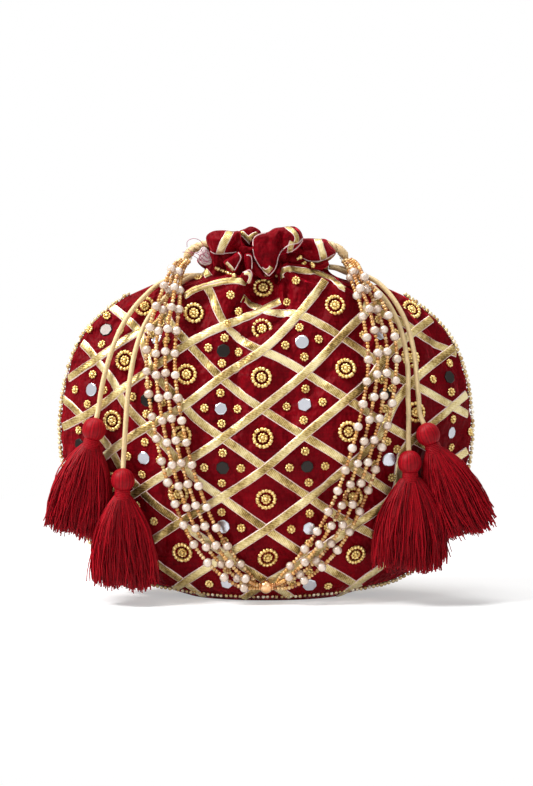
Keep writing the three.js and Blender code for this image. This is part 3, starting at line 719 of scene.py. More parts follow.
seam_puff = (1.0 + 0.9 * smooth_step(140, 172, z)) * smooth_step(0.955, 1.0, side_share) * smooth_step(14, 30, z)
rings[:body_count] += normals[:body_count] * (height_on_body + seam_pucker + seam_puff)[..., None]
# The first rings of the neck are eased out of the body
for k in (0, 1):
    share = (k + 1) / 6
    rings[body_count + k] = rings[body_count - 1] * (1 - share) + rings[body_count + k] * share

# Crests of the two puffs below the neck and the hollow between them, as the photograph shows them
LEFT_CREST = np.array([(180, 301), (186, 293), (198, 286), (212, 281), (228, 277.5), (243, 278.5), (250, 281)])
RIGHT_CREST = np.array([(278, 274), (282, 268), (287, 265.5), (303, 267), (321, 271), (335, 278), (346, 289),
                        (352, 297)])
HOLLOW_DEPTH, FOLD_DEPTH = 4.6, 1.5
# Long folds: pixels along the fold, its width in pixels, and its depth, which FOLD_DEPTH scales
LONG_FOLDS = [
    ([(286, 276), (287, 300), (281, 318), (262, 330), (244, 338)], 4.0, 2.2),
    ([(246, 284), (240, 300), (233, 312)], 3.5, 2.6),
    ([(236, 318), (240, 350), (236, 395), (231, 430)], 7.0, 1.7),
    ([(205, 300), (199, 330), (205, 362)], 6.0, 1.4),
    ([(326, 292), (318, 330), (330, 372)], 8.0, 1.3),
    ([(292, 330), (286, 372), (292, 420)], 8.0, 1.2),
    ([(170, 316), (150, 352), (128, 372)], 7.0, 1.6),
    ([(380, 318), (402, 346), (420, 372)], 7.0, 1.5),
    ([(362, 320), (366, 372), (378, 420)], 8.0, 1.3),
    ([(252, 432), (238, 476), (244, 520)], 9.0, 1.0),
    ([(318, 440), (330, 480), (322, 526)], 9.0, 1.0),
    ([(196, 430), (186, 470), (196, 508)], 9.0, 1.0),
]


def line_distance(px, py, line):
    """Distance in pixels from each place to a line of points."""
    best = np.full(np.shape(px), 1e9)
    for (x0, y0), (x1, y1) in zip(line[:-1], line[1:]):
        length = (x1 - x0) ** 2 + (y1 - y0) ** 2
        t = np.clip(((px - x0) * (x1 - x0) + (py - y0) * (y1 - y0)) / length, 0, 1)
        best = np.minimum(best, np.hypot(px - x0 - t * (x1 - x0), py - y0 - t * (y1 - y0)))
    return best


def crest_push(px, py, crest, height, below, above):
    """Rounded edge of a puff: it stands out along the crest, falls slowly below it and fast above it."""
    down = py - np.interp(px, crest[:, 0], crest[:, 1])
    window = smooth_step(crest[0, 0], crest[0, 0] + 7, px) * (1 - smooth_step(crest[-1, 0] - 7, crest[-1, 0], px))
    under = np.exp(-(np.maximum(down, 0) / below) ** 1.6)
    return height * window * np.where(down > 0, under, np.exp(np.minimum(down, 0) / above))


pixel_x, pixel_y = to_pixel(rings * MM)
push = sum(crest_push(pixel_x, pixel_y, crest, 6.5, 26, 1.6) for crest in (LEFT_CREST, RIGHT_CREST))
hollow = smooth_step(242, 252, pixel_x) * (1 - smooth_step(276, 284, pixel_x))
push -= HOLLOW_DEPTH * hollow * smooth_step(262, 276, pixel_y) * (1 - smooth_step(296, 316, pixel_y))
for line, wide, deep in LONG_FOLDS:
    push -= FOLD_DEPTH * deep * np.exp(-(line_distance(pixel_x, pixel_y, line) / wide) ** 2)
push = push * (rings[..., 1] < 0) * smooth_step(0, 9, -rings[..., 1])
rings += push[..., None] * np.array([0, -1, 0.3]) * (rings[..., 2] > 20)[..., None]

bottom_middle = len(rings) * COLUMNS
vertices = np.concatenate([rings.reshape(-1, 3), [[0, 0, 0.3]]])
faces = grid_faces(len(rings), COLUMNS) + [(bottom_middle, (i + 1) % COLUMNS, i) for i in range(COLUMNS)]
cloth = mesh_object("cloth_body", vertices * MM, faces, SILK)
ride(cloth, "bag", ["front_panel", "back_panel"])

middle = np.array([0, 0, 95.0])
inner = (rings[5:body_count:3] - middle) * np.array([0.955, 0.92, 0.96]) + middle
inner_faces = grid_faces(len(inner), COLUMNS, turned=True) + [tuple(range(COLUMNS))]
lining = mesh_object("lining_bag", inner.reshape(-1, 3) * MM, inner_faces, LINING)
ride(lining, "bag", ["lining"])

cloth_tree = BVHTree.FromPolygons([tuple(v) for v in vertices * MM], faces)


def smooth_normal(point, reach=1.2 * MM):
    """Normal of the cloth near a point, averaged so that small creases don't tilt what is sewn there."""
    total = Vector()
    for dx, dz in ((0, 0), (1, 0), (-1, 0), (0, 1), (0, -1)):
        _, normal, _, _ = cloth_tree.find_nearest(point + Vector((dx * reach, 0, dz * reach)))
        total += normal
    total = total.normalized()
    if total.dot(point - Vector((0, 0, 95 * MM))) < 0:
        total.negate()
    return total


def at_pixel(px, py):
    """Point of the cloth that the camera sees at a pixel, or None."""
    hit, _, _, _ = cloth_tree.ray_cast(camera.location, pixel_ray(px, py))
    return hit


for word in ("left", "right"):
    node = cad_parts[f"drawstring_{word}"]
    node.data.materials.clear()
    node.data.materials.append(CREAM)

# Lattice of ribbons: (column, row) and the pixel where the photograph shows it; between these places the offset
# from an even lattice is spread smoothly
COLUMN_STEP, ROW_STEP, MIDDLE_COLUMN, MIDDLE_ROW = 45, 31, 266, 500
SEEN = {
    (0, -1): (267, 469), (0, 1): (267, 532), (0, 3): (268, 577), (1, -4): (310, 372), (1, 0): (310, 497),
    (1, 2): (305, 558), (-1, 0): (220, 497), (-1, 2): (231, 555), (-1, -2): (225, 437), (1, -2): (298, 437),
    (0, -3): (260, 412), (2, -3): (347, 396), (2, -1): (350, 466), (2, -5): (340, 336), (1, -6): (294, 312),
    (0, -7): (263, 315), (-2, -5): (191, 340), (-1, -4): (216, 375), (-2, 1): (179, 521),
    (0, -8): (263, 291), (0, -6): (264, 331), (0, -4): (259, 378), (0, -2): (262, 437), (0, 0): (266, 500),
    (0, 2): (268, 559), (2, -6): (333, 300), (2, -4): (345, 369), (2, -2): (348, 429), (2, 2): (357, 552),
    (-2, -6): (195, 307), (-1, -6): (221, 331), (-2, -7): (213, 283), (-2, -4): (192, 374), (-2, 2): (184, 550),
    (-4, -6): (145, 308), (-4, -4): (123, 359), (-4, -2): (111, 419), (4, -4): (408, 359), (4, -2): (418, 414),
    (1, -5): (305, 342), (1, -3): (306, 406), (1, -1): (309, 466), (1, 1): (309, 529),
    (-1, -5): (221, 354), (-1, -3): (222, 411), (-1, -1): (224, 468), (-1, 1): (220, 527),
    (-3, -3): (143, 402), (-3, -1): (142, 459), (-5, -5): (111, 329), (-5, -3): (97, 390), (-5, -1): (81, 443),
    (3, -5): (379, 334), (3, -7): (352, 290), (5, -3): (447, 375), (5, -1): (450, 431),
}
seen_cells = np.array(list(SEEN.keys()), dtype=float)
seen_pixels = np.array(list(SEEN.values()), dtype=float)
offsets = seen_pixels - seen_cells * (COLUMN_STEP, ROW_STEP) - (MIDDLE_COLUMN, MIDDLE_ROW)


def lattice_pixel(a, b):
    """Pixel of a place on the lattice."""
    away = ((seen_cells[:, 0] - a) * 45) ** 2 + ((seen_cells[:, 1] - b) * 40) ** 2
    weights = np.exp(-away / (2 * 30.0 ** 2)) + 1e-5 / (1 + away)
    shift = (weights[:, None] * offsets).sum(axis=0) / weights.sum()
    return MIDDLE_COLUMN + COLUMN_STEP * a + shift[0], MIDDLE_ROW + ROW_STEP * b + shift[1]


RIBBON_WIDTH = 5.3
NEAR_CLOTH, LONGEST_JUMP = 4 * MM, 9 * MM


class Strips:
    """Ribbons gathered into one mesh."""

    def __init__(self):
        self.vertices, self.faces, self.uv = [], [], []

    def ribbon(self, points, guide, lift, width=RIBBON_WIDTH, tree=cloth_tree):
        """Adds a strip that hugs the cloth along the points, facing along the guide."""
        if len(points) < 4:
            return
        points, guide = np.array(points), np.array(guide)
        for _ in range(3):
            relax(guide)
            relax(points)
        guide = unit_rows(guide)
        lateral = unit_rows(np.cross(guide, unit_rows(np.gradient(points, axis=0))))
        along = lengths_along(points) / (10 * MM)
        section = [(-1, -0.1), (-0.86, lift), (-0.3, lift + 0.12), (0.3, lift + 0.12), (0.86, lift), (1, -0.1)]
        self.faces += grid_faces(len(points), len(section), len(self.vertices), wrap=False)
        for j in range(len(points)):
            for share, height in section:
                place = Vector(points[j] + lateral[j] * share * width / 2 * MM)
                near, _, _, distance = tree.find_nearest(place)
                if near is not None and distance < NEAR_CLOTH:
                    place = near
                self.vertices.append(np.array(place) + guide[j] * height * MM)
                self.uv.append((along[j], (share + 1) / 2))

    def piece(self, name):
        ride(mesh_object(name, self.vertices, self.faces, RIBBON, uv=self.uv))


def tucked_away(px, py, family):
    """Where the ribbons run into the folds below the neck and can't be seen."""
    if px < 250 and py < np.interp(px, LEFT_CREST[:, 0], LEFT_CREST[:, 1]) + 3:
        return True
    if px > 281 and py < np.interp(px, RIGHT_CREST[:, 0], RIGHT_CREST[:, 1]) + 4:
        return True
    if family > 0 and px > 290 and py < 303:
        return True
    left_edge = 224 if family > 0 else 198
    return (left_edge < px < 240 and py < 302) or (282 < px < 319 and py < 312 - 1.03 * (px - 283))


def weave(name, reach, outermost, find):
    """Lays both families of ribbons wherever find(a, b, family) gives a place on the cloth."""
    strips = Strips()
    for family in (1, -1):
        lift = 0.3 if family > 0 else 0.62
        for constant in range(-outermost, outermost + 1, 2):
            run, run_normals = [], []
            for a in np.arange(-reach, reach + 0.01, 0.07):
                hit = find(a, constant + family * a, family)
                if hit is None or (run and (hit - Vector(run[-1])).length > LONGEST_JUMP):
                    strips.ribbon(run, run_normals, lift)
                    run, run_normals = [], []
                if hit is not None:
                    run.append(tuple(hit))
                    run_normals.append(tuple(smooth_normal(hit, 2.5 * MM)))
            strips.ribbon(run, run_normals, lift)
    strips.piece(name)


def front_spot(a, b, family):
    if not -8.2 <= b <= 3.6:
        return None
    px, py = lattice_pixel(a, b)
    hit = at_pixel(px, py)
    return None if hit is None or hit.z > 191 * MM or tucked_away(px, py, family) else hit


def back_spot(a, b, low=2, high=189):
    """Place on the back: even in the middle, drawn in towards the neck and round the sides."""
    z = 58 - 18.6 * b
    if not low < z < high:
        return None
    pinch = 1 - 0.5 * float(smooth_step(120, 195, np.array(z)))
    hit, _, _, _ = cloth_tree.ray_cast(Vector((27.0 * a * pinch * MM, 0.3, z * MM)), Vector((0, -1, 0)))
    return hit if hit is not None and hit.y > -0.001 else None


weave("ribbons_front", 5.9, 15, front_spot)
weave("ribbons_back", 8.9, 19, lambda a, b, family: back_spot(a, b))

# Stuffed folds of the ruffle: outline in pixels; depth, swell in front, swell behind and width of the rounded edge
# in millimetres; creases in pixels
LOBES = {
    "left": ([(206.6, 235.6), (212.5, 231.3), (223.4, 230.2), (233.1, 231.3), (239.1, 231.3), (241.5, 241),
              (242.8, 251.9), (236.4, 253), (227.7, 254.4), (217.9, 254.4), (212, 252.4), (208, 246), (206, 240)],
             -13, 7.0, 9.0, 6.5, [[(240, 236), (233, 246), (240, 253)]]),
    "small": ([(238.5, 232), (245, 228.6), (250.5, 226.4), (256.5, 228), (261, 232.3), (258, 240), (255.5, 250),
               (250, 250), (245, 245), (241, 240)], -9, 5.0, 8.0, 5.0, [[(244, 237), (251, 246)]]),
    "heart": ([(254.4, 236), (259.6, 233.4), (267.8, 232), (274.3, 228.2), (283, 227), (288.4, 226.4), (294.9, 226.6),
               (300.3, 230.6), (302.8, 236), (303.4, 241), (299.3, 247.5), (292.7, 252.4), (286.2, 253.4),
               (280.4, 255.5), (278.4, 260.5), (277.4, 266), (273.8, 272.5), (268.4, 276.6), (262.8, 270),
               (257.4, 262.7), (254, 254), (252, 246.4), (252.6, 241)],
              -19, 7.5, 6.0, 7.5, [[(282, 253), (279, 244), (281, 236)]]),
    "right": ([(300.5, 239), (306, 238.3), (315.5, 238.7), (326.4, 239.5), (329.6, 244.3), (336, 252.4),
               (332, 258.4), (324.2, 262.9), (313.3, 264.5), (306.8, 262.4), (300.3, 257.2), (296.5, 251.9)],
              -11, 7.0, 9.0, 6.5, [[(301, 249), (309, 247)]]),
    "wedge": ([(223.5, 262), (231, 256.5), (238.6, 251.8), (242.4, 255.6), (240, 263), (234.6, 272.5), (229, 269)],
              -19.5, 4.0, 4.0, 4.0, []),
    "roll": ([(245, 254), (251, 254), (252.6, 262), (253, 272), (247.4, 271), (244.4, 262)],
             -20, 3.2, 4.0, 3.4, []),
    "turnover": ([(240, 277), (244, 271), (249.4, 268.4), (253, 272), (252.6, 279), (249.6, 284.4), (245, 282)],
                 -24.5, 3.4, 4.0, 3.0, []),
    "tongue": ([(254, 262), (259, 267), (266, 277), (276, 276), (277, 268), (282, 262), (280, 272), (267, 279.5),
                (256, 275.5), (251, 268)],
               -19.5, 2.6, 5.0, 5.0, []),
    "left_side": ([(209, 240), (214, 236.5), (226, 235.5), (235, 237), (238, 244), (236, 251), (226, 253), (214, 251)],
                  0, 6.0, 6.0, 6.0, [[(222, 236), (219, 253)]]),
    "right_side": ([(301, 245), (308, 242.5), (320, 243), (328, 247), (330, 253), (326, 259), (314, 262), (304, 259)],
                   0, 6.0, 6.0, 6.0, [[(316, 243), (318, 262)]]),
    "shelf": ([(284, 256), (296, 252), (306, 261), (318, 263), (327, 260), (329, 265), (322, 269), (305, 267),
               (286, 266), (281, 261)],
              -15.5, 3.5, 6.0, 5.5, [[(300, 254), (306, 266)]]),
}


def closed_curve(points, pitch):
    """Even points on a smooth closed curve through the given ones."""
    points = np.array(points, dtype=float)
    ring = np.vstack([points[-2:], points, points[:3]])
    fine, _ = smooth_path(np.column_stack([ring, np.zeros(len(ring))]), 0.25)
    away = np.hypot(*(fine[:, :2] - points[0]).T)
    half = len(fine) // 2
    loop = fine[np.argmin(away[:half]):half + np.argmin(away[half:]), :2]
    return loop[::max(int(round(pitch / 0.25)), 1)]


def pillow(name, outline, depth, front, back, edge, folds):
    """A stuffed fold of cloth: its outline lies at one depth, and both faces swell out from it."""
    loop = closed_curve(outline, 1.0)
    low, high = loop.min(axis=0), loop.max(axis=0)
    grid = [(x + 0.2 * math.sin(9 * y), y) for x in np.arange(low[0], high[0], 1.15)
            for y in np.arange(low[1], high[1], 1.15)]
    count = len(loop)
    edges = [(i, (i + 1) % count) for i in range(count)]
    points = [Vector(p) for p in loop] + [Vector(p) for p in grid]
    flat, _, triangles, _, _, _ = delaunay_2d_cdt(points, edges, [list(range(count))], 1, 1e-4)
    flat = np.array([tuple(v) for v in flat])
    used = sorted({i for triangle in triangles for i in triangle})
    number_of = {old: new for new, old in enumerate(used)}
    flat = flat[used]
    triangles = [tuple(number_of[i] for i in triangle) for triangle in triangles]
    inside = line_distance(flat[:, 0], flat[:, 1], [tuple(p) for p in loop] + [tuple(loop[0])]) * 0.6
    swell = np.sqrt(np.maximum(1 - (1 - np.minimum(inside / edge, 1)) ** 2, 0))
    here = random.Random(name)
    wave = 0.5 * np.sin(flat[:, 0] * 0.33 + here.uniform(0, 6)) + 0.4 * np.sin(flat[:, 1] * 0.41 + here.uniform(0, 6))
    out = front * swell * (1 + 0.12 * wave)
    for fold in folds:
        crease = np.exp(-(line_distance(flat[:, 0], flat[:, 1], fold) / 3.0) ** 2)
        out -= 0.45 * front * crease * np.minimum(inside / 2, 1)
    vertices = [tuple(pixel_on_plane(px, py, (depth - there) * MM)) for (px, py), there in zip(flat, out)]
    behind, faces = {}, []
    for i, (px, py) in enumerate(flat):
        behind[i] = i
        if inside[i] >= 0.05:
            behind[i] = len(vertices)
            at_rim = pixel_on_plane(px, py, depth * MM)
            vertices.append((at_rim.x, at_rim.y + back * swell[i] * MM, at_rim.z))
    for a, b, c in triangles:
        (x1, y1), (x2, y2) = flat[b] - flat[a], flat[c] - flat[a]
        if x1 * y2 - y1 * x2 > 0:
            b, c = c, b
        faces += [(a, b, c), (behind[a], behind[c], behind[b])]
    return vertices, faces


def line_on(tree, pixels, pitch=1.0):
    """Points and normals where a smooth line of pixels falls on a fold."""
    line, _ = smooth_path([(x, y, 0) for x, y in pixels], pitch)
    found, normals_there = [], []
    for px, py, _ in line:
        hit, normal, _, _ = tree.ray_cast(camera.location, pixel_ray(px, py))
        if hit is None:
            continue
        if normal.dot(camera.location - hit) < 0:
            normal.negate()
        found.append(tuple(hit))
        normals_there.append(tuple(normal))
    return found, normals_there


BACK_DROP = 5.5 * MM
FRONT_ONLY = ("wedge", "roll", "turnover", "left_side", "right_side")
lobe_trees = {}
ruffle_vertices, ruffle_faces = [], []
for lobe, shape in LOBES.items():
    lobe_vertices, lobe_faces = pillow(lobe, *shape)
    lobe_trees[lobe] = BVHTree.FromPolygons(lobe_vertices, lobe_faces)
    for turn, drop in ((1, 0), (-1, BACK_DROP)):
        if turn > 0 or lobe not in FRONT_ONLY:
            base = len(ruffle_vertices)
            ruffle_vertices += [(turn * x, turn * y, z - drop) for x, y, z in lobe_vertices]
            ruffle_faces += [tuple(i + base for i in face) for face in lobe_faces]
ruffle = mesh_object("ruffle_folds", ruffle_vertices, ruffle_faces, SILK)
ride(ruffle)

# Ribbons on the folds: fold, pixels along the ribbon and width
ruffle_strips = Strips()
for lobe, pixels, width in (
        ("left", [(230.5, 230.8), (227.4, 236.7), (223, 244.3), (220.2, 252.6), (219, 256)], 5.2),
        ("small", [(240.7, 232.6), (245.5, 236.4), (250.5, 240.5)], 4.2),
        ("small", [(248, 241), (252, 236.5), (257.5, 233.4)], 3.6),
        ("heart", [(287, 226.9), (293.5, 231.4), (297, 237.5), (296, 243.5)], 3.6),
        ("heart", [(292.6, 241.5), (290.6, 247), (290, 252)], 3.6),
        ("heart", [(262.5, 268.5), (267, 271.6), (271.5, 267)], 3.4),
        ("right", [(317.4, 239.2), (319.8, 244), (322, 251), (323.6, 258), (324, 262)], 4.8),
        ("right", [(303, 259.8), (309.8, 262), (318, 262.6), (326, 259.8), (332.4, 256)], 2.6),
        ("wedge", [(226, 262.4), (230, 266.5), (233.4, 270.5)], 2.6),
        ("turnover", [(244.6, 273), (249.4, 273.6), (250.6, 278), (248.6, 283)], 2.4)):
    found, normals_there = line_on(lobe_trees[lobe], pixels)
    ruffle_strips.ribbon(found, normals_there, 0.25, width, lobe_trees[lobe])
for pixels, width in (
        ([(184.5, 294.8), (190, 290.4), (198, 286.8), (212, 282.4), (228, 279.4), (240, 279.8), (246.5, 282)], 2.2),
        ([(185.5, 297.6), (191, 293.2), (199, 289.4), (213, 285.2), (228, 282.4), (239, 282.4), (245, 284)], 2.2),
        ([(282.4, 279), (281.6, 272.6), (285, 269.4), (303, 270.6), (321, 274.6), (335, 281.4), (344.5, 290)], 4.0),
        ([(199.5, 264.5), (204, 270), (209, 277)], 4.6)):
    found, normals_there = line_on(cloth_tree, pixels)
    ruffle_strips.ribbon(found, normals_there, 0.5, width)
ruffle_strips.piece("ribbons_ruffle")

# Pale hem threads along the edges of the folds: fold, pixels
for number, (lobe, pixels) in enumerate((
        ("heart", [(253.2, 249), (254.6, 256), (258.6, 263.8), (263.8, 270.6), (268.6, 275.4)]),
        ("heart", [(269, 275.4), (274, 270), (276.6, 263.6), (277.8, 257.5), (281, 251.4), (289, 245), (298, 242.6),
                   (302.6, 238.6)]),
        ("heart", [(286.5, 252), (292, 250.8), (298.6, 245.6), (302.4, 240.4)]),
        ("heart", [(253.4, 246), (253.4, 241), (255.4, 237), (260, 234.6), (266, 233.4)]),
        ("right", [(303.4, 258), (309, 260.6), (318, 261), (326.6, 258.2), (334, 254)]),
        ("small", [(239.6, 234), (245, 239), (250, 244.4)]),
        ("wedge", [(238.4, 253), (240.6, 257), (238, 263.5), (234.4, 270.5)]),
        ("roll", [(246.6, 255.4), (250.4, 256), (251.6, 262), (251.6, 269)]),
        ("turnover", [(243.4, 272.6), (249.6, 270.4), (251.6, 275), (249, 282.6)]),
        ("left", [(208.6, 249), (213.5, 252.8), (220, 253.4), (230, 252.6), (241, 251.2)])), 1):
    found, normals_there = line_on(lobe_trees[lobe], pixels, 0.7)
    path = np.array(found) + np.array(normals_there) * 0.2 * MM
    ride(tube(f"hem_{number}", path, 0.34 * MM, HEM, sides=6))

# Whitish stitched patch where the left loop is sewn in, and the loose threads round it
patch_outline = [(199, 252), (203, 246.5), (207.5, 249), (210.5, 256), (211.5, 263), (205, 265.5), (199, 262)]
patch_vertices, patch_faces = pillow("patch", patch_outline, -15, 2.2, 2.0, 3.0, [])
ride(mesh_object("stitched_patch", patch_vertices, patch_faces, PATCH))
for i, pixels in enumerate([
        [(187, 247), (187.4, 241.5), (193, 238.6), (200, 240.6), (203, 246), (201, 251), (194, 253), (188, 249)],
        [(182.6, 252), (188, 252.6), (194, 256), (201, 260.4), (211, 262.4)],
        [(200.6, 249), (204, 254.6), (207, 258), (210.4, 256), (205, 252.6), (199.6, 257.6), (203.6, 263.4),
         (208, 262)],
        [(198, 262), (203, 257), (206.4, 250), (209, 259), (201, 254), (199, 259.4)],
        [(189, 252.6), (197, 253.6), (206, 261), (212, 260)]]):
    line, _ = smooth_path([(px, py, 0) for px, py in pixels], 1.0)
    path = [tuple(pixel_on_plane(px, py, (-18.6 - 0.8 * math.sin(0.5 * k + i)) * MM))
            for k, (px, py, _) in enumerate(line)]
    ride(tube(f"loose_thread_{i + 1}", path, 0.17 * MM, LOOSE, sides=5))


# Rings of beads, mirrors and bead flowers
def sewn_axes(normal):
    """Sideways, upward and outward directions of a flat thing sewn to the cloth."""
    normal = Vector(normal).normalized()
    sideways = Vector((0, 0, 1)).cross(normal).normalized()
    return np.array([sideways, normal.cross(sideways), normal])


def bead_circle(cluster, centre, axes, here, count, radius, bead, height, squash, wobble=0.0):
    """Beads sewn in a circle, in millimetres."""
    offset = here.uniform(0, 1)
    for i in range(count):
        angle = TURN * (i + offset) / count + (here.gauss(0, wobble) if wobble else 0)
        local = np.array([radius * math.cos(angle), radius * math.sin(angle), height]) * MM
        cluster.ball(centre + local @ axes, bead * MM, here.random(), axes, squash)


def bead_ring(cluster, centre, normal, seed):
    """Ring of beads round a small flower of beads, 12.6 mm across."""
    axes, here, centre = sewn_axes(normal), random.Random(seed), np.array(centre)
    bead_circle(cluster, centre, axes, here, 16, 5.15, 1.32, 0.6, 1.0, 0.03)
    bead_circle(cluster, centre, axes, here, 9, 2.15, 0.98, 0.75, 1.0, 0.03)
    cluster.ball(centre + np.array([0, 0, 1.15]) * MM @ axes, 1.35 * MM, 0.8, axes, 0.8, MIDDLE)


def bead_flower(cluster, centre, normal, seed):
    """Small flower of beads, 5 mm across."""
    axes, here, centre = sewn_axes(normal), random.Random(seed), np.array(centre)
    bead_circle(cluster, centre, axes, here, 8, 1.85, 0.86, 0.5, 0.9)
    cluster.ball(centre + np.array([0, 0, 1.0]) * MM @ axes, 1.1 * MM, 0.8, axes, 0.9)


MIRROR_SIDES = 24


def mirror(centre, normal, radius, seed):
    """Vertices and faces of one hand-cut mirror with a low rim."""
    axes, here, centre = sewn_axes(normal), random.Random(seed), np.array(centre)
    corners = here.choice([6, 7, 8, 14, 16])
    turn = here.uniform(0, 6.28)
    outline = []
    for i in range(MIRROR_SIDES):
        angle = TURN * i / MIRROR_SIDES
        sector = (angle - turn) % (TURN / corners) - math.pi / corners
        outline.append((angle, radius * math.cos(math.pi / corners) / math.cos(sector) * 1.02))
    vertices = [centre + np.array([0, 0, 0.75]) * MM @ axes]
    for share, height in ((0.86, 0.75), (1.0, 0.45), (1.0, -0.3)):
        for angle, out in outline:
            local = np.array([out * share * math.cos(angle), out * share * math.sin(angle), height]) * MM
            vertices.append(centre + local @ axes)
    faces = [(0, 1 + i, 1 + (i + 1) % MIRROR_SIDES) for i in range(MIRROR_SIDES)]
    return vertices, faces + grid_faces(3, MIRROR_SIDES, 1, turned=True)


# Lattice cell of each ring of beads that is a CAD node
MEDALLION_CELLS = {
    1: (0, 2), 2: (0, 0), 3: (0, -2), 4: (0, -4), 5: (0, -6),
    6: (-2, 2), 7: (-2, 0), 8: (-2, -2), 9: (-2, -4), 10: (-2, -6),
    11: (2, 2), 12: (2, 0), 13: (2, -2), 14: (2, -4), 15: (2, -6),
    16: (-4, 0), 17: (-4, -2), 18: (-4, -4), 19: (4, 0), 20: (4, -2), 21: (4, -4),
}
for number, cell in MEDALLION_CELLS.items():
    hit = at_pixel(*lattice_pixel(*cell))
    facing = smooth_normal(hit, 4 * MM)
    if number == 19:  # Sunk into the fold there, clear of the tassel that swings over it
        hit = hit - facing * 1.6 * MM
    cluster = Cluster()
    bead_ring(cluster, hit, facing, number)
    ride(cluster.piece(f"bead_ring_{number}", GOLD), "bag", [f"medallion_{number}"])

extra = Cluster()
flowers = Cluster()
mirrors = {"pale": ([], []), "dark": ([], [])}
# Cells whose mirrors, front and back, get the painted dark reflection.
PAINTED_REFLECTION_CELLS = {(1, -1), (-1, -5), (-3, -3), (5, -3), (-5, -1), (1, -7), (3, 1), (3, -3), (-3, 1), (-1, -1), (-5, -5)}


def front_place(a, b):
    hit = at_pixel(*lattice_pixel(a, b))
    return hit if hit is not None and 4 * MM < hit.z < 186 * MM else None


def back_place(a, b):
    return back_spot(a, b, 9, 183)


def sew_cell(a, b, place, with_ring):
    """Sews a ring of beads, or a mirror and its flowers, in one cell of the lattice."""
    hit = place(a, b)
    if hit is None or (a % 2 == 0 and not with_ring) or (a % 2 and b == -7 and place is front_place):
        return
    if a % 2 == 0:
        bead_ring(extra, hit, smooth_normal(hit, 4 * MM), a * 31 + b)
        return
    all_vertices, all_faces = mirrors["dark" if (a, b) in PAINTED_REFLECTION_CELLS else "pale"]
    vertices, faces = mirror(hit, smooth_normal(hit, 3 * MM), 3.9 + 0.3 * math.sin(a * 5 + b), a * 17 + b)
    all_faces.extend(tuple(i + len(all_vertices) for i in face) for face in faces)
    all_vertices.extend(vertices)
    for da, db in ((0.42, 0), (-0.42, 0), (0, 0.5), (0, -0.5)):
        near = place(a + da, b + db)
        if near is not None:
            bead_flower(flowers, near, smooth_normal(near, 2 * MM), int(a * 100 + b * 10 + da * 7 + db * 3))


for i, (px, py) in enumerate([(198.5, 278), (230.6, 295), (239, 311.5), (296, 280.5), (287, 302.4), (227, 324)]):
    hit = at_pixel(px, py)
    bead_flower(flowers, hit, smooth_normal(hit, 2 * MM), 900 + i)
for row, tree in (
        ([(216.4, 268.6), (222, 271), (228, 273.4), (234, 275.8)], cloth_tree),
        ([(298, 259), (302, 257), (306, 261), (303, 265)], lobe_trees["shelf"]),
        ([(307, 258.4), (310.6, 262.4), (313, 266)], lobe_trees["shelf"])):
    found, _ = line_on(tree, row, 2.6)
    for i, place in enumerate(found):
        flowers.ball(np.array(place) + np.array([0, -0.6, 0.2]) * MM, (1.5 if i % 2 else 1.15) * MM, 0.7)
done = set(MEDALLION_CELLS.values())
for a in range(-8, 9):
    for b in range(-8, 4):
        if (a + b) % 2 == 0:
            if abs(a) < 6:
                sew_cell(a, b, front_place, (a, b) not in done)
            sew_cell(a, b, back_place, True)
# The dark kind of mirror carries the painted dark reflection in its colour.
for kind, material in (("pale", PALE_MIRROR), ("dark", PAINTED_REFLECTION_MIRROR)):
    ride(mesh_object(f"mirrors_{kind}", *mirrors[kind], material, smooth=False))
ride(extra.piece("bead_rings_small", GOLD))
ride(flowers.piece("bead_flowers", GOLD))

# Beads along the seam
SEAM = [
    (82.5, 0, 181.5), (93, 0, 174), (103, 0, 165), (110.8, 0, 155.6), (116, 0, 144.5), (120.8, 0, 130),
    (123.2, 0, 113), (124.2, 0, 98), (123, 0, 82), (119.5, 0, 66), (114, 0, 49), (108, 0, 35.5),
    (101.5, -0.5, 24), (93.5, -1.6, 14), (83, -4.2, 8.2), (71, -10.6, 4.4), (57, -18.2, 2.3),
    (40, -24.4, 1.9), (20, -28.6, 1.9),
]
route = [(-x, y, z) for x, y, z in SEAM] + [(0, -29.8, 1.9)] + SEAM[::-1]
snapped, _ = smooth_path(np.array(route), 0.6)
for i, point in enumerate(snapped):
    near = np.array(cloth_tree.find_nearest(Vector(point * MM))[0]) / MM
    away = point - near
    gap = np.linalg.norm(away)
    if gap > 1.3:
        snapped[i] = near + away / gap * 1.2
for _ in range(30):
    relax(snapped)
seam_path, _ = smooth_path(snapped[::4], 2.75)
seam = Cluster()
for i, point in enumerate(seam_path):
    here = random.Random(i)
    tone = here.random()
    tuck = 1.6 * float(1 - smooth_step(45, 75, np.array(abs(point[0])))) if point[2] < 20 else 0.0
    jitter = np.array([here.gauss(0, 0.14), here.gauss(0, 0.14) + tuck, here.gauss(0, 0.1)])
    seam.ball((point + jitter) * MM, here.uniform(1.25, 1.5) * (1 - 0.12 * tuck) * MM, tone)
ride(seam.piece("beads_on_seam", SEAM_BEADS), "bag", ["seam_beads"])

# Handle of pearl strings
PEARL_RADIUS, STRAND_SPACING, BALL_RADIUS, BALL_HEIGHT = 2.6, 5.6, 4.0, 10.6
LOOP_HEIGHT, LOOP_OUTER, WRAP_LENGTH, WRAP_RADIUS, THREAD_RADIUS = 206.0, 43.0, 6.4, 3.6, 0.5
PEARL_PITCH, ROW_HEIGHT, PEARLS_OFF_BALL, PEARLS_OFF_ENDS = 13.3, 123.6, 13.5, 17
PEARL_REACH, SEED_START, SEED_PITCH, SEEDS_OFF_BALL, SEEDS_OFF_ENDS = 2.62, 2.7, 2.05, 4.6, 3.0
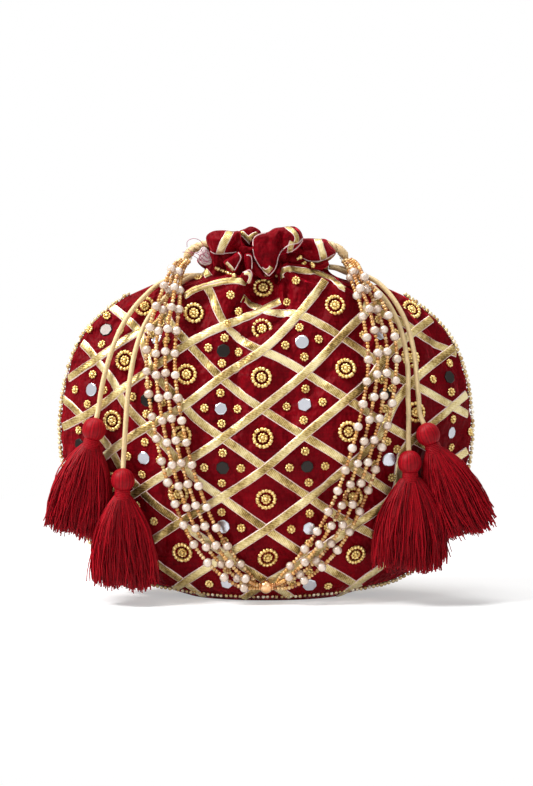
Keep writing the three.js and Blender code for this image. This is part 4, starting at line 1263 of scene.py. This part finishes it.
# Places along each side: x, z, share of the full spacing of the strings, how far the second and fourth string
# stand in front of the others, and how far all of them stand forward
MIDDLE_LEFT = [
    (-56.4, 180, 0.7, 4.4, 3), (-59.4, 167, 0.9, 3.4, 3), (-61.6, 151, 1, 0, 0), (-61.2, 134, 1, 0, 0),
    (-58.8, 116, 1, 0, 0), (-55.3, 98, 1, 0, 0), (-51, 80.5, 1, 0, 0), (-45.4, 63.5, 1, 0, 0), (-39.4, 48.5, 1, 0, 0),
    (-31.5, 34.5, 0.95, 2, 0), (-21, 22, 0.75, 4.4, 0), (-12, 14.4, 0.52, 4.6, 0),
]
MIDDLE_RIGHT = [
    (60.5, 180, 0.7, 4.4, 1), (65, 167, 0.9, 3.4, 0), (68.2, 151, 1, 0, 0), (67.6, 134, 1, 0, 0), (64.6, 116, 1, 0, 0),
    (60.3, 98, 1, 0, 0), (55.2, 80.5, 1, 0, 0), (49, 63.5, 1, 0, 0), (42, 48.5, 1, 0, 0),
    (33, 34.5, 0.95, 2, 0), (21.6, 22, 0.75, 4.4, 0), (12, 14.4, 0.52, 4.6, 0),
]
# Places over the rim of the neck: x, y, z, share of the spacing and step forward
SHOULDER = [(51.2, -10.5, 198.6, 0.45, 1.8), (54.4, -19, 190.6, 0.6, 4.4)]
wrap_middle = LOOP_OUTER + GAP + WRAP_LENGTH / 2
ball_place = np.array([0, -float(front_depth(0, BALL_HEIGHT)) - BALL_RADIUS - 2, BALL_HEIGHT])


def strand_side(middle, side, strand):
    """Places of one string from its thread wrap to the gold ball."""
    place = strand - 1.5
    forward = strand % 2
    wrap_start = (WRAP_RADIUS + GAP + THREAD_RADIUS) * math.sqrt(0.5)
    points = [(side * (wrap_middle + place * WRAP_LENGTH / 4), -wrap_start, LOOP_HEIGHT - wrap_start)]
    for x, y, z, share, step in SHOULDER:
        lean = math.sqrt(0.5) * place * share * STRAND_SPACING
        points.append((side * (x + lean), y - forward * step, z + lean * 0.5))
    for i, (x, z, share, step, further) in enumerate(middle):
        before, after = middle[max(i - 1, 0)], middle[min(i + 1, len(middle) - 1)]
        along = Vector((after[0] - before[0], after[1] - before[1])).normalized() * place * share * STRAND_SPACING
        point = lay_on_front(x - side * along.y, z + side * along.x, TRIM_HEIGHT + PEARL_RADIUS + GAP)
        point[1] -= forward * step + further
        points.append(tuple(point))
    return points


def strand_points(strand):
    dy = -0.9 if strand % 2 else 0.9
    dz = 0.9 if strand < 2 else -0.9
    middle = [(x, ball_place[1] + dy, ball_place[2] + dz) for x in (-5, 0, 5)]
    return strand_side(MIDDLE_LEFT, -1, strand) + middle + strand_side(MIDDLE_RIGHT, 1, strand)[::-1]


for strand in range(4):
    fine, length = smooth_path(np.array(strand_points(strand)) * MM, 0.5 * MM)
    total = length / MM
    along = np.linspace(0, total, len(fine))
    ball_at = along[np.argmin(np.linalg.norm(fine / MM - ball_place, axis=1))]
    here = random.Random(100 + strand)
    stops = []
    for side, lowered in ((-1, 0), (1, 4.5 if strand in (0, 3) else 0)):
        on_side = (along - ball_at) * side > 0
        row_height = ROW_HEIGHT - lowered + here.uniform(-1.2, 1.2)
        anchor = along[on_side][np.argmin(np.abs(fine[on_side, 2] / MM - row_height))]
        run = anchor + PEARL_PITCH * np.arange(-12, 13)
        run = run[(run - ball_at) * side > PEARLS_OFF_BALL]
        run = run[(run > PEARLS_OFF_ENDS) & (run < total - PEARLS_OFF_ENDS)]
        stops.extend(run)
    tangents, ups, acrosses = frames_along(fine)

    def at(distance):
        i = int(round(np.interp(distance, along, np.arange(len(fine)))))
        return fine[i], np.array([ups[i], acrosses[i], tangents[i]])

    pearls, seeds = Cluster(), Cluster()
    for d in stops:
        place, axes = at(d)
        pearls.ball(place, here.uniform(2.7, 2.88) * MM, here.random(), axes, 0.94, PEARL_SHAPE)
    spots = []
    for d, following in zip(stops, stops[1:]):
        room = following - d - 2 * PEARL_REACH
        if room <= 20:
            count = 4 if here.random() < 0.8 else 5
            spots.extend(d + PEARL_REACH + room * (i + 0.5) / count for i in range(count))
    left_end, right_end = max(d for d in stops if d < ball_at), min(d for d in stops if d > ball_at)
    for low, high in ((SEEDS_OFF_ENDS, stops[0] - SEED_START), (stops[-1] + SEED_START, total - SEEDS_OFF_ENDS),
                      (left_end + SEED_START, ball_at - SEEDS_OFF_BALL),
                      (ball_at + SEEDS_OFF_BALL, right_end - SEED_START)):
        count = int(round((high - low) / SEED_PITCH))
        spots.extend(low + (high - low) * (i + 0.5) / count for i in range(count))
    for d in spots:
        place, axes = at(d)
        seeds.ball(place, here.uniform(1.25, 1.4) * MM, here.random(), axes, 0.8)
    thread = tube(f"string_thread_{strand + 1}", fine[::4], 0.3 * MM, CREAM, sides=5)
    string_pearls = pearls.piece(f"string_pearls_{strand + 1}", PEARL)
    string_seeds = seeds.piece(f"string_seeds_{strand + 1}", SEED)
    ride(string_pearls, "handle", [f"pearl_string_{strand + 1}"])
    ride(string_seeds, "handle")
    ride(thread, "handle")

# Gold ball that gathers the strings at the bottom
ball_cluster = Cluster()
ball_cluster.ball(ball_place * MM, BALL_RADIUS * MM, shape=LARGE)
for side in (-1, 1):
    for i in range(12):
        rim = np.array([side * 3.9, 1.7 * math.cos(TURN * i / 12), 1.7 * math.sin(TURN * i / 12)])
        ball_cluster.ball((ball_place + rim) * MM, 0.5 * MM)
ride(ball_cluster.piece("ball_gold", BRIGHT_GOLD), "handle", ["handle_ball"])


# Loops and thread wraps at the handle's ends
def twisted(name, path, strands, radius, twist, material, sides=7):
    """Plies wound round each other along a path, as one mesh."""
    _, ups, acrosses = frames_along(path)
    along = lengths_along(path)
    points, faces, tones = [], [], []
    ply = radius * 0.56
    for s in range(strands):
        phase = (TURN * s / strands + along / twist * TURN)[:, None]
        centre = path + (radius - ply) * (np.cos(phase) * ups + np.sin(phase) * acrosses)
        points.append(rings_round(centre, ply, sides, ups, acrosses))
        tones.extend(np.repeat(0.35 + 0.3 * s / strands + 0.1 * np.sin(np.arange(len(path)) * 0.7), sides))
        faces += grid_faces(len(path), sides, s * len(path) * sides)
    return mesh_object(name, np.concatenate(points), faces, material, tone=tones)


LOOP_POINTS = [(29.5, -0.4, 210.8), (34, -0.9, 211.2), (38.5, -0.9, 210.2), (42.4, -0.5, 208.6), (44.6, 0, 207.4)]
WRAP_TURNS = 9
for side, word in ((-1, "left"), (1, "right")):
    path, _ = smooth_path(np.array(LOOP_POINTS) * (side, 1, 1) * MM, 0.5 * MM)
    loop = twisted(f"loop_{word}", path, 3, 2.7 * MM, 9 * MM, CREAM)
    ride(loop, "bag", [f"handle_loop_{word}"])
    coil = []
    for t in np.linspace(0, 1, WRAP_TURNS * 18 + 1):
        angle = TURN * WRAP_TURNS * t
        radius = 2.5 + 0.9 * max(math.sin(math.pi * t), 0) ** 0.6
        coil.append((side * (LOOP_OUTER + GAP - 0.6 + WRAP_LENGTH * t), radius * math.cos(angle),
                     LOOP_HEIGHT + 2.2 - 5.4 * t + radius * math.sin(angle)))
    wrap = tube(f"wrap_{word}", np.array(coil) * MM, 0.42 * MM, CREAM, sides=6, tone=0.45, first_up=(1, 0, 0))
    ride(wrap, "handle", [f"handle_wrap_{word}"])


# Floor, light and background
def join_shaders(n, first, second, factor=None):
    """Sum of two shaders, or their mix."""
    node = n.add("AddShader") if factor is None else n.add("MixShader", {"Fac": factor})
    start = len(node.inputs) - 2
    for i, shader in enumerate((first, second)):
        n.tree.links.new(shader, node.inputs[start + i])
    return node.outputs[0]


FLOOR_REACH = 6.0
n = new_material("floor_white")
diffuse = n.add("BsdfDiffuse", {"Color": (0.62, 0.62, 0.62, 1)}).outputs[0]
glow = n.add("Emission", {"Color": (1, 1, 1, 1), "Strength": 0.42}).outputs[0]
white = n.add("Emission", {"Color": (1, 1, 1, 1), "Strength": 1.0}).outputs[0]
plain = n.add("BsdfDiffuse", {"Color": (0.8, 0.8, 0.8, 1)}).outputs[0]
place = n.add("SeparateXYZ", {"Vector": n.add("TexCoord").outputs["Object"]}).outputs
away = n.math("SQRT", n.math("ADD", n.math("POWER", place["X"], 2.0), n.math("POWER", place["Y"], 2.0)))
fade = n.add("MapRange", {"Value": away, "From Min": 0.16, "From Max": 0.5}, interpolation_type="SMOOTHSTEP")
seen = join_shaders(n, join_shaders(n, diffuse, glow), white, fade.outputs["Result"])
n.tree.links.new(join_shaders(n, plain, seen, n.shows()), n.tree.nodes["Material Output"].inputs["Surface"])
corners = [(x * FLOOR_REACH, y * FLOOR_REACH, 0) for x, y in ((-1, -1), (1, -1), (1, 1), (-1, 1))]
mesh_object("floor", corners, [(0, 1, 2, 3)], n.owner, smooth=False)

world = Nodes(bpy.data.worlds.new("studio"))
scene.world = world.owner
strength = world.add("MapRange", {"Value": world.shows(), "To Min": 0.24, "To Max": 1.0}).outputs["Result"]
background = world.tree.nodes["Background"]
background.inputs["Color"].default_value = (1, 1, 1, 1)
world.feed(background.inputs["Strength"], strength)


def area_lamp(name, place, aim, size, power):
    data = bpy.data.lights.new(name, "AREA")
    data.shape = "RECTANGLE"
    data.size, data.size_y = size
    data.energy = power
    lamp = bpy.data.objects.new(name, data)
    lamp.location = place
    lamp.rotation_euler = (Vector(aim) - Vector(place)).to_track_quat("-Z", "Y").to_euler()
    scene.collection.objects.link(lamp)


area_lamp("key", (-1.3, -0.5, 1.5), (0, 0, 0.1), (0.6, 0.6), 48)
area_lamp("fill", (0.9, -1.5, 0.7), (0, 0, 0.1), (0.9, 0.9), 3)
area_lamp("top", (-0.1, 0.1, 1.8), (0, 0, 0.1), (1.0, 1.0), 24)

scene.view_settings.view_transform = "Standard"
